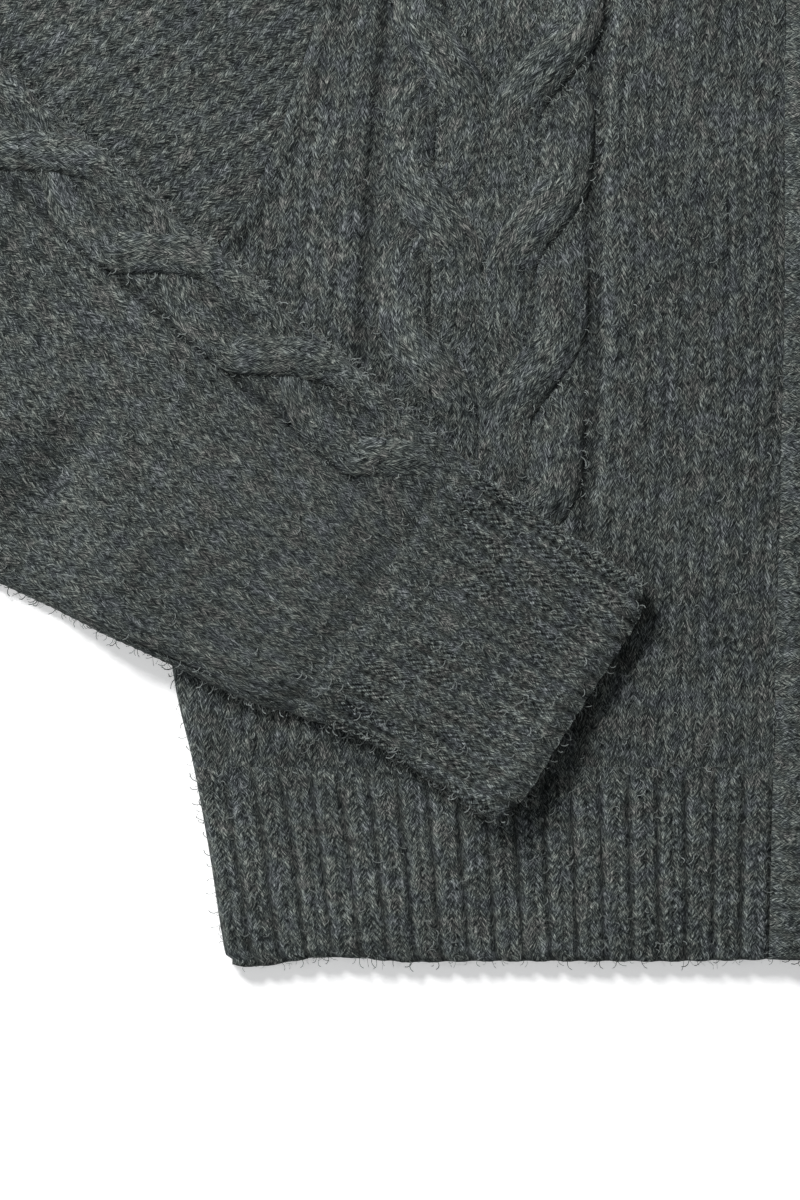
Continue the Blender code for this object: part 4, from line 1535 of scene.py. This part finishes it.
def frontStrand(mirror, phase, number):
    c = frontCable
    side = -1 if mirror else 1

    def centreAt(h):
        return (readRows(channelRows, h, 1) + readRows(channelRows, h, 2)) / 2 + c["centreShift"]

    def offsetAt(h):
        turn = (c["firstBottom"] - side * c["rightLower"] / 2 - h) / c["repeat"] + phase  # grows downwards
        turn = turn - 2 * np.floor(turn / 2)
        share = c["crossing"] / c["repeat"]
        inward = ease((turn - (1 - share)) / share)          # over, outer to inner, ends at turn 1
        outward = ease((turn - 1 - (1 - share)) / share)     # under, inner to outer, ends at turn 2
        place = c["outer"] + (c["inner"] - c["outer"]) * (inward - outward)
        over = np.sin(pi * np.clip((turn - (1 - share)) / share, 0, 1)) ** 1.2
        under = np.sin(pi * np.clip((turn - 1 - (1 - share)) / share, 0, 1)) ** 0.6
        rest = c["outerLift"] + (c["innerLift"] - c["outerLift"]) * (inward - outward)
        lift = rest + (c["overLift"] - rest) * over + (c["underLift"] - rest) * under
        flat = np.clip((inward - outward) * (1 - over), 0, 1)
        edge = c["edgeDepth"] + (c["flatDepth"] - c["edgeDepth"]) * flat
        emerging = bell(turn - 2.02, 0.19) + bell(turn - 0.02, 0.19)
        return place, lift, edge, emerging

    low, high = garment["ribHeight"] + 2.0, c["highest"]
    for _ in range(6):                                       # a strand ends inside the shoulder seam
        outermost = centreAt(high) + side * offsetAt(high)[0] - c["halfWidth"]
        high = float(shoulderAt(outermost)) - 1.0
    way, v, arch, depth, a, b = strandGrid(c, high - low, number)
    h = low + (high - low) * way
    place, lift, edge, emerging = offsetAt(h)
    placeUp, placeDown = offsetAt(h + 0.5)[0], offsetAt(h - 0.5)[0]
    lean = side * (placeUp - placeDown)
    run = np.sqrt(1 + lean * lean)
    narrow = 1 - 0.08 * (run - 1)
    x = centreAt(h) + side * place + v * c["halfWidth"] * narrow / run
    y = h - lean / run * v * c["halfWidth"] * narrow
    ends = ease((h - low) / c["ends"][0]) * ease((high - h) / c["ends"][1])
    cover = forearmCover(x, y)
    lift = lift * (1 - cover) + np.minimum(lift, c["covered"]) * cover
    lift = lift * ends - c["endDepth"] * (1 - ends)
    # painted highlight along a high strand's crest
    paintedHighlight = c["paleCrest"] * arch * np.clip(lift / c["outerLift"], 0, 1)
    crest = layers["frontTop"] + lift
    ground = np.minimum(crest - edge, layers["frontTop"] - c["flatDepth"])
    z = strandFace(c, v, arch, depth, ground, crest)
    # painted shade in the pockets where a strand comes out from under another, and along its edges
    pocket = c["pocket"] * emerging * bell(side * v + 0.3, 0.5) * ends * (1 - cover)
    hollow = np.clip((depth - 0.25) / 2.2 + 0.24 * edge * (1 - arch) ** 1.5 + pocket - paintedHighlight, -0.4, 1)
    points = np.stack([x, y, z], axis=-1)
    return points, a, b, hollow


def joinStrands(name, strands, mirror=False):
    allPoints, allFaces, allUv, allShade, base = [], [], [], [], 0
    for points, u, v, hollow in strands:
        rows, columns = points.shape[:2]
        if mirror:
            points = points * [-1.0, 1.0, 1.0]
        flat = points.reshape(-1, 3)
        number = base + np.arange(rows * columns).reshape(rows, columns)
        under = np.stack([number[:-1, 0], number[1:, 0], number[1:, -1], number[:-1, -1]], axis=-1)
        faces = [list(face) for face in (*gridQuads(number), *under, number[0, ::-1], number[-1])]
        if mirror:
            faces = [face[::-1] for face in faces]
        coords = np.stack([u.ravel(), v.ravel()], axis=1)
        allFaces.extend(faces)
        allUv.extend(coords[np.array(face) - base] for face in faces)
        allPoints.append(flat)
        allShade.append(hollow.ravel())
        base += rows * columns
    return buildMesh(name, np.concatenate(allPoints), allFaces, np.concatenate(allUv),
                     np.concatenate(allShade), wool)


frontStrands = [frontStrand(mirror, phase, 2 * mirror + phase)
                for mirror in (False, True) for phase in (1, 2)]
cablePieces = {
    "frontRight": joinStrands("frontCableRight", frontStrands),
    "frontLeft": joinStrands("frontCableLeft", frontStrands, mirror=True),
}

sleeveCable = {
    "halfWidth": 7.8,
    "lower": 25.6,          # middle of a strand at the lower side, in from the top fold
    "upper": 3.8,
    "repeat": 56.0,
    "firstStart": 116.0,    # up the arm, where one strand starts to cross over
    "crossing": 40.0,
    "overLift": 2.2,
    "upperLift": 1.8,
    "lowerLift": 1.4,
    "underLift": 0.0,
    "edgeDepth": 1.7,
    # painted highlight where a strand lies high
    "paleCrest": 0.15,
    "relief": 0.7,
    "columns": 3,
    "course": 3.9,
    "winding": 1.06,
    "highest": 600.0,
    "ends": (16.0, 15.0),
    "endDepth": 1.2,
    "ground": -0.9,
    "topShift": 17.0,       # how much nearer the fold it runs on the upper arm, so that it rides its top
    "shiftStarts": 330.0,
    "shiftLength": 200.0,
}


def sleeveStrand(phase):
    c = sleeveCable
    low, high = sleeve["cuffLength"] - 1.0, c["highest"]
    way, v, arch, depth, a, b = strandGrid(c, high - low, phase + 5)
    s = low + (high - low) * way

    def offsetAt(s):
        turn = (c["firstStart"] - s) / c["repeat"] + phase   # grows towards the cuff
        turn = turn - 2 * np.floor(turn / 2)
        share = c["crossing"] / c["repeat"]
        quick = np.clip(turn / share, 0, 1)
        quick = 1.06 * quick ** 2 / (quick + 0.06)
        across = 1 - (1 - quick) ** 1.5                      # over, lower to upper, quick at first
        back = ease((turn - 1) / share)                      # under, upper to lower
        place = c["lower"] + (c["upper"] - c["lower"]) * (across - back)
        over = np.sin(pi * np.clip(turn / share, 0, 1)) ** 1.1
        under = np.sin(pi * np.clip((turn - 1) / share, 0, 1)) ** 0.6
        rest = c["lowerLift"] + (c["upperLift"] - c["lowerLift"]) * (across - back)
        lift = rest + (c["overLift"] - rest) * over + (c["underLift"] - rest) * under
        return place, lift

    place, lift = offsetAt(s)
    lean = -(offsetAt(s + 0.5)[0] - offsetAt(s - 0.5)[0])
    run = np.sqrt(1 + lean * lean)
    shift = c["topShift"] * ease((s - c["shiftStarts"]) / c["shiftLength"])
    fromTop = place - shift - v * c["halfWidth"] / run
    sAt = s - lean / run * v * c["halfWidth"]
    half = halfRound(sAt)
    rounded = quarterRound() - sleeve["edgeRound"]
    share = 1 - (fromTop - cableTuck(sAt) + rounded) / half
    ends = ease((s - low) / c["ends"][0]) * ease((high - s) / c["ends"][1])
    lift = lift * ends - c["endDepth"] * (1 - ends)
    ground = np.minimum(lift - c["edgeDepth"], c["ground"])
    points = skinPoint(sAt, share, strandFace(c, v, arch, depth, ground, lift))
    # painted shade along the strand's edges and with stitch depth, and a painted highlight along its crest
    hollow = np.clip((depth - 0.25) / 2.2 + 0.4 * (1 - arch) ** 2 - c["paleCrest"] * arch, -0.4, 1)
    return points, a, b, hollow


sleeveStrands = [sleeveStrand(phase) for phase in (0, 1)]
cablePieces["sleeveRight"] = joinStrands("sleeveCableRight", sleeveStrands)
cablePieces["sleeveLeft"] = joinStrands("sleeveCableLeft", sleeveStrands, mirror=True)
print("cables knitted")


# Loose fibres that stand off the wool
fuzz = {
    "density": 0.055,       # on each square millimetre
    "rimGain": 9.0,         # how many times more where the surface turns away sideways
    "rimSlope": -1.6,       # how that grows as the surface's upward part falls, and from where
    "rimStart": 1.3,
    "lowestUp": -0.4,       # no fibre grows where the surface faces further down than this
    "turn": (0.0, 2 * pi),  # about the surface's normal, and how far each tips over
    "tip": (-0.9, 0.15),
    "scale": (0.45, 1.5),
    "aboveTable": 0.05,
    "length": 2.5,
    "width": 0.17,
    "lift": 0.42,
    "colour": (0.150, 0.165, 0.160),
    "seed": 11,
    "hiddenShare": 0.4,     # density on the wearer's left, as a share of that on the right
}


def fuzzTree():
    inputs = [("Geometry", "Geometry")]
    inputs.extend((label, "Float") for label in ("Density", "Rim gain", "Length", "Width", "Lift"))
    inputs.extend([("Seed", "Int"), ("Material", "Material")])
    tree, given, made = groupOf("looseFibres", "GeometryNodeTree", inputs, [("Geometry", "Geometry")])
    up = partsOf(tree, nodeOf(tree, "GeometryNodeInputNormal").outputs[0])[2]
    sideways = maths(tree, "MULTIPLY_ADD", up, fuzz["rimSlope"], fuzz["rimStart"])
    sideways = maths(tree, "MINIMUM", maths(tree, "MAXIMUM", sideways, 0.0), 1.0)
    thick = maths(tree, "MULTIPLY_ADD", sideways, given["Rim gain"], 1.0)
    thick = maths(tree, "MULTIPLY", thick, given["Density"])
    thick = maths(tree, "MULTIPLY", thick, maths(tree, "GREATER_THAN", up, fuzz["lowestUp"]))
    feeds = {"Mesh": given["Geometry"], "Density": thick, "Seed": given["Seed"]}
    scatter = nodeOf(tree, "GeometryNodeDistributePointsOnFaces", feeds, distribute_method="RANDOM").outputs
    rise = maths(tree, "MULTIPLY", given["Length"], given["Lift"])
    bend = {"Resolution": 2, "Start": (0.0, 0.0, 0.0)}
    for label, share, height, sideShare in (("Middle", 0.5, 1.3, 0.3), ("End", 1.0, 1.0, -0.1)):
        bend[label] = vectorOf(tree, maths(tree, "MULTIPLY", given["Length"], share),
                               maths(tree, "MULTIPLY", given["Length"], sideShare),
                               maths(tree, "MULTIPLY", rise, height))
    fibre = nodeOf(tree, "GeometryNodeCurveQuadraticBezier", bend)
    ends = {}
    for label, share in (("Start", -0.5), ("End", 0.5)):
        aside = maths(tree, "MULTIPLY", given["Width"], share)
        ends[label] = vectorOf(tree, aside, aside)
    profile = nodeOf(tree, "GeometryNodeCurvePrimitiveLine", ends)
    feeds = {"Curve": fibre.outputs[0], "Profile Curve": profile.outputs[0]}
    strip = nodeOf(tree, "GeometryNodeCurveToMesh", feeds)

    def randomIn(span, seed):
        feeds = {2: span[0], 3: span[1], "Seed": maths(tree, "ADD", given["Seed"], seed)}
        return nodeOf(tree, "FunctionNodeRandomValue", feeds, data_type="FLOAT").outputs[1]

    facing = scatter["Rotation"]
    for axis, span, seed in (((0, 0, 1), fuzz["turn"], 1.0), ((0, 1, 0), fuzz["tip"], 2.0)):
        turn = nodeOf(tree, "FunctionNodeAxisAngleToRotation", {"Axis": axis, "Angle": randomIn(span, seed)})
        feeds = {"Rotation": facing, "Rotate By": turn.outputs[0]}
        facing = nodeOf(tree, "FunctionNodeRotateRotation", feeds, rotation_space="LOCAL").outputs[0]
    spray = nodeOf(tree, "GeometryNodeInstanceOnPoints", {
        "Points": scatter["Points"],
        "Instance": strip.outputs[0],
        "Rotation": facing,
        "Scale": randomIn(fuzz["scale"], 3.0),
    })
    real = nodeOf(tree, "GeometryNodeRealizeInstances", {0: spray.outputs[0]})
    x, y, z = partsOf(tree, nodeOf(tree, "GeometryNodeInputPosition").outputs[0])
    above = vectorOf(tree, x, y, maths(tree, "MAXIMUM", z, fuzz["aboveTable"] * mm))
    laid = nodeOf(tree, "GeometryNodeSetPosition", {"Geometry": real.outputs[0], "Position": above})
    feeds = {"Geometry": laid.outputs[0], "Material": given["Material"]}
    wire(tree, nodeOf(tree, "GeometryNodeSetMaterial", feeds).outputs[0], made["Geometry"])
    return tree


# a plain mesh of what a tree of nodes makes from a mesh
def grown(name, mesh, tree, values):
    holder = bpy.data.objects.new(name + "Source", mesh)
    bpy.context.scene.collection.objects.link(holder)
    modifier = holder.modifiers.new("nodes", "NODES")
    modifier.node_group = tree
    for item in tree.interface.items_tree:
        if item.in_out == "INPUT" and item.name in values:
            modifier[item.identifier] = values[item.name]
    result = holder.evaluated_get(bpy.context.evaluated_depsgraph_get())
    piece = bpy.data.objects.new(name, bpy.data.meshes.new_from_object(result))
    bpy.data.objects.remove(holder)
    bpy.context.scene.collection.objects.link(piece)
    return piece


def plainMaterial(name, colour, rough, specular=0.5, glow=0.0):
    material = bpy.data.materials.new(name)
    material.use_nodes = True
    tree = material.node_tree
    for label, value in (("Base Color", (*colour, 1.0)), ("Roughness", rough),
                         ("Specular IOR Level", specular), ("Emission Color", (1.0, 1.0, 1.0, 1.0)),
                         ("Emission Strength", glow)):
        wire(tree, value, tree.nodes["Principled BSDF"].inputs[label])
    return material


looseFibre = plainMaterial("looseFibre", fuzz["colour"], 0.9, 0.1)
fibreTree = fuzzTree()


def addFuzz(name, piece, share, seed):
    return grown(name, piece.data, fibreTree, {
        "Density": fuzz["density"] * share / mm ** 2,
        "Rim gain": fuzz["rimGain"],
        "Length": fuzz["length"] * mm,
        "Width": fuzz["width"] * mm,
        "Lift": fuzz["lift"],
        "Seed": fuzz["seed"] + seed,
        "Material": looseFibre,
    })


fuzzPieces = {}
fuzzed = (
    ("Front", frontPieces, "right", "left"),
    ("Hem", hemPieces, "right", "left"),
    ("Sleeve", sleevePieces, "right", "left"),
    ("Cuff", cuffPieces, "right", "left"),
    ("Band", bandPieces, "right", "left"),
    ("FrontCable", cablePieces, "frontRight", "frontLeft"),
    ("SleeveCable", cablePieces, "sleeveRight", "sleeveLeft"),
)
for order, (label, pieces, *keys) in enumerate(fuzzed):
    for key, title, share, seed in zip(keys, ("Right", "Left"), (1.0, fuzz["hiddenShare"]), (0, 5)):
        fuzzPieces[key, label] = addFuzz("fuzz" + label + title, pieces[key], share, 10 * order + seed)
print("fuzz grown")


button = {
    "segments": 40,
    "holeSegments": 16,
    "holeRadius": 1.1,
    "holeSpread": 2.2,
    "thread": 0.42,
    "threadLift": 0.55,
    "threadSides": 6,
    "colour": (0.030, 0.026, 0.022),
    "threadColour": (0.020, 0.022, 0.022),
    "holeLength": 11.6,     # half a buttonhole's length, with its stitching
    "holeWidth": 1.3,
    "edgePoints": 24,
    "stitchLength": 1.9,
    "stitchWidth": 0.75,
}
# a button's section, as shares of its radius and of half its thickness
buttonRows = [
    (0.80, -1.00),
    (0.94, -0.72),
    (1.00, -0.10),
    (0.985, 0.45),
    (0.93, 0.85),
    (0.86, 1.00),
    (0.78, 0.92),
    (0.70, 0.62),
    (0.58, 0.42),
    (0.30, 0.36),
]
buttonNodes = sorted(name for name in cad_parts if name.startswith("button_"))
horn = plainMaterial("darkHorn", button["colour"], 0.32, 0.5)
threadMaterial = plainMaterial("darkThread", button["threadColour"], 0.7, 0.3)


# joins rings of points into faces that look outwards, with a cap at each end
def ringFaces(rings, count, base=0):
    faces = [[base + (ring + 1) * count + k, base + ring * count + k,
              base + ring * count + (k + 1) % count, base + (ring + 1) * count + (k + 1) % count]
             for ring in range(rings - 1) for k in range(count)]
    faces.append([base + k for k in reversed(range(count))])
    faces.append([base + (rings - 1) * count + k for k in range(count)])
    return faces


def plainMesh(name, points, faces, material):
    mesh = bpy.data.meshes.new(name)
    mesh.from_pydata([tuple(point) for point in points], [], faces)
    mesh.validate()
    mesh.set_sharp_from_angle(angle=radians(50.0))
    mesh.materials.append(material)
    return mesh


def holePlaces():
    spread = button["holeSpread"] * mm
    return [(spread * cos(turn), spread * sin(turn)) for turn in (pi / 4 + k * pi / 2 for k in range(4))]


def buttonMesh(low, high):
    radius, half = (high.x - low.x) / 2, (high.z - low.z) / 2
    count = button["segments"]
    turns = [2 * pi * k / count for k in range(count)]
    points = [(share * radius * cos(turn), share * radius * sin(turn), level * half)
              for share, level in buttonRows for turn in turns]
    disc = bpy.data.objects.new("disc", plainMesh("disc", points, ringFaces(len(buttonRows), count), horn))
    bore, count = button["holeRadius"] * mm, button["holeSegments"]
    turns = [2 * pi * k / count for k in range(count)]
    drill = [(x + bore * cos(turn), y + bore * sin(turn), z)
             for x, y in holePlaces() for z in (-3 * half, 3 * half) for turn in turns]
    sides = [face for hole in range(4) for face in ringFaces(2, count, hole * 2 * count)]
    cutter = bpy.data.objects.new("cutter", plainMesh("cutter", drill, sides, horn))
    for piece in (disc, cutter):
        bpy.context.scene.collection.objects.link(piece)
    cut = disc.modifiers.new("holes", "BOOLEAN")
    cut.operation, cut.object, cut.solver = "DIFFERENCE", cutter, "EXACT"
    result = disc.evaluated_get(bpy.context.evaluated_depsgraph_get())
    mesh = bpy.data.meshes.new_from_object(result)
    bpy.data.objects.remove(disc)
    bpy.data.objects.remove(cutter)
    return mesh


# one strand of thread: up through a hole, across and down through the next
def threadStrand(start, end, bottom, top):
    thread, count = button["thread"] * mm, button["threadSides"]
    start, end = np.array(start), np.array(end)
    along = (end - start) / np.linalg.norm(end - start)
    out = np.array([-along[1], along[0]])
    path = [(0.0, bottom, (0, 1)), (0.0, top - 0.4 * thread, (0, 1)), (0.18, top + 0.7 * thread, (0.7, 0.7)),
            (0.5, top + button["threadLift"] * mm, (1, 0)), (0.82, top + 0.7 * thread, (0.7, -0.7)),
            (1.0, top - 0.4 * thread, (0, -1)), (1.0, bottom, (0, -1))]
    points = []
    for share, z, (level, climb) in path:
        middle = start + (end - start) * share
        for k in range(count):
            turn = 2 * pi * k / count
            side, lift = cos(turn) * thread, sin(turn) * thread
            flat = middle + out * side - along * climb * lift
            points.append((flat[0], flat[1], z + level * lift))
    return points, len(path)


def addButtons():
    low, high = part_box(buttonNodes[0])
    shape, half = buttonMesh(low, high), (high.z - low.z) / 2
    pieces, threads, faces = {}, [], []
    places = holePlaces()
    for node in buttonNodes:
        low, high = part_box(node)
        shift = (low + high) / 2
        mesh = shape.copy()
        mesh.transform(Matrix.Translation(shift))
        pieces[node] = bpy.data.objects.new("face" + node.title().replace("_", ""), mesh)
        bpy.context.scene.collection.objects.link(pieces[node])
        for first, second in ((0, 1), (3, 2)):
            strand, rings = threadStrand(places[first], places[second], -half - 0.2 * mm, 0.4 * half)
            faces.extend(ringFaces(rings, button["threadSides"], len(threads)))
            threads.extend((x + shift.x, y + shift.y, z + shift.z) for x, y, z in strand)
    sewn = bpy.data.objects.new("buttonThreads", plainMesh("buttonThreads", threads, faces, threadMaterial))
    bpy.context.scene.collection.objects.link(sewn)
    return pieces, sewn


# stitches laid side by side across a line
def stitchTree():
    inputs = (("Geometry", "Geometry"), ("Stitch length", "Float"), ("Stitch width", "Float"),
              ("Material", "Material"))
    tree, given, made = groupOf("overcast", "GeometryNodeTree", inputs, [("Geometry", "Geometry")])
    line = nodeOf(tree, "GeometryNodeMeshToCurve", {"Mesh": given["Geometry"]})
    feeds = {"Curve": line.outputs[0], "Length": given["Stitch width"]}
    spaced = nodeOf(tree, "GeometryNodeCurveToPoints", feeds, mode="LENGTH").outputs
    bead = nodeOf(tree, "GeometryNodeMeshUVSphere", {"Segments": 5, "Rings": 4, "Radius": 0.5})
    flat = maths(tree, "MULTIPLY", given["Stitch width"], 0.7)
    place = nodeOf(tree, "GeometryNodeInstanceOnPoints", {
        "Points": spaced["Points"],
        "Instance": bead.outputs["Mesh"],
        "Rotation": spaced["Rotation"],
        "Scale": vectorOf(tree, flat, given["Stitch length"], given["Stitch width"]),
    })
    real = nodeOf(tree, "GeometryNodeRealizeInstances", {0: place.outputs[0]})
    feeds = {"Geometry": real.outputs[0], "Material": given["Material"]}
    wire(tree, nodeOf(tree, "GeometryNodeSetMaterial", feeds).outputs[0], made["Geometry"])
    return tree


def addButtonholes():
    points, edges = [], []
    radius, count = button["holeWidth"], button["edgePoints"]
    straight = button["holeLength"] - radius
    for node in buttonNodes:
        low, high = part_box(node)
        middle, start = (low + high) / 2, len(points)
        level = low.z - 0.5 * button["stitchWidth"] * mm
        for k in range(count):
            turn = 2 * pi * k / count
            end = straight if cos(turn) >= 0 else -straight
            along, across = end + radius * cos(turn), radius * sin(turn)
            points.append((middle.x + along * mm, middle.y + across * mm, level))
        edges.extend((start + k, start + (k + 1) % count) for k in range(count))
    outline = bpy.data.meshes.new("buttonholeLines")
    outline.from_pydata(points, edges, [])
    return grown("buttonholes", outline, stitchTree(), {
        "Stitch length": button["stitchLength"] * mm,
        "Stitch width": button["stitchWidth"] * mm,
        "Material": threadMaterial,
    })


buttonPieces, threadPiece = addButtons()
buttonholePiece = addButtonholes()
print("buttons made")


studio = {
    "keyPlace": (-0.535, 0.845),     # direction towards the key light, over the table
    "keyElevation": radians(32.0),
    "keyDistance": 1.9,
    "keySize": 0.55,
    "keyPower": 52.0,
    "sidePlace": (-0.985, -0.17),    # the same of a weaker light
    "sideElevation": radians(26.0),
    "sidePower": 13.0,
    "fill": 0.235,
    "air": (0.96, 0.98, 1.0),
    "floorColour": (0.92, 0.92, 0.92),
    "floorGlow": 0.28,
    "floorSize": 6.0,       # half its width
}
view = {"middle": (-0.1555, -0.1529), "distance": 1.020, "lens": 85.0, "cloth": 0.006}


def makeStudio():
    world = bpy.data.worlds.new("studio")
    bpy.context.scene.world = world
    world.use_nodes = True
    background = world.node_tree.nodes["Background"].inputs
    background["Color"].default_value = (*studio["air"], 1.0)
    background["Strength"].default_value = studio["fill"]
    for label in ("key", "side"):
        light = bpy.data.lights.new(label, "AREA")
        light.shape = "DISK"
        light.size = studio["keySize"]
        light.energy = studio[label + "Power"]
        lamp = bpy.data.objects.new(label, light)
        elevation, away = studio[label + "Elevation"], studio["keyDistance"]
        flat = cos(elevation) * away
        x, y = view["middle"]
        lamp.location = (x + studio[label + "Place"][0] * flat, y + studio[label + "Place"][1] * flat,
                         sin(elevation) * away)
        towards = lamp.location.copy()
        towards.x -= x
        towards.y -= y
        lamp.rotation_mode = "QUATERNION"
        lamp.rotation_quaternion = towards.to_track_quat("Z", "Y")
        bpy.context.scene.collection.objects.link(lamp)
    bpy.context.scene.view_settings.view_transform = "Standard"


def makeFloor():
    mesh = bpy.data.meshes.new("floor")
    size = studio["floorSize"]
    corners = [(-size, -size, 0), (size, -size, 0), (size, size, 0), (-size, size, 0)]
    mesh.from_pydata(corners, [], [(0, 1, 2, 3)])
    floor = bpy.data.objects.new("floor", mesh)
    mesh.materials.append(plainMaterial("paleFloor", studio["floorColour"], 0.8, glow=studio["floorGlow"]))
    bpy.context.scene.collection.objects.link(floor)


def makeCamera():
    data = bpy.data.cameras.new("camera")
    data.lens = view["lens"]
    data.clip_start = 0.01
    camera = bpy.data.objects.new("camera", data)
    camera.location = (*view["middle"], view["cloth"] + view["distance"])
    bpy.context.scene.collection.objects.link(camera)
    bpy.context.scene.camera = camera


makeStudio()
makeFloor()
makeCamera()
print("studio made")


def wear(piece, *nodes):
    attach(piece, "root")
    if nodes:
        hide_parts(*nodes)


for side in ("right", "left"):
    wear(frontPieces[side], "front_" + side)
    wear(hemPieces[side], "hem_rib_" + side)
    wear(sleevePieces[side], "sleeve_" + side)
    wear(cuffPieces[side], "cuff_" + side)
    wear(bandPieces[side], "band_" + side)
wear(hemPieces["back"], "hem_rib_back")
wear(backPiece, "back")
wear(neckPiece, "neckband")
wear(buttonholePiece)
for piece in (*cablePieces.values(), *fuzzPieces.values()):
    wear(piece)
for node, piece in buttonPieces.items():
    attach(piece, "root")
    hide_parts(node)
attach(threadPiece, "root")


# the area of a flat piece seen from above, in square metres
def planArea(piece):
    normals = np.empty(len(piece.data.polygons) * 3)
    areas = np.empty(len(piece.data.polygons))
    piece.data.polygons.foreach_get("normal", normals)
    piece.data.polygons.foreach_get("area", areas)
    return float((np.maximum(normals.reshape(-1, 3)[:, 2], 0.0) * areas).sum())


# widest girth, length and area of the sleeve's knitting, opened out
def sleeveCut():
    shares = np.linspace(0.0, 2.0, 81)
    start, reach = sleeve["cuffLength"], capReach(shares)
    girths = [2 * halfRound(np.linspace(start, end, 60)) for end in reach]
    area = np.mean([girth.mean() * (end - start) for girth, end in zip(girths, reach)])
    return max(girth.max() for girth in girths) * mm, (reach.max() - start) * mm, float(area) * mm ** 2


def layFlat(piece, low, high, restsOn, withPieces):
    width, length = high.x - low.x, high.y - low.y
    min(planArea(piece), width * length)


girth, sleeveLength, sleeveArea = sleeveCut()
cuffGirth = 2 * float(halfRound(sleeve["cuffLength"])) * mm
for hand, title in (("right", "Right"), ("left", "Left")):
    alongside = [cablePieces["front" + title], fuzzPieces[hand, "Front"],
                 fuzzPieces["front" + title, "FrontCable"]]
    layFlat(frontPieces[hand], *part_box("front_" + hand), ["back"], alongside)
    layFlat(hemPieces[hand], *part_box("hem_rib_" + hand), ["hem_rib_back"], [fuzzPieces[hand, "Hem"]])
layFlat(hemPieces["back"], *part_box("hem_rib_back"), [], [])
layFlat(backPiece, *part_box("back"), [], [])
layFlat(neckPiece, *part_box("neckband"), ["back"], [])
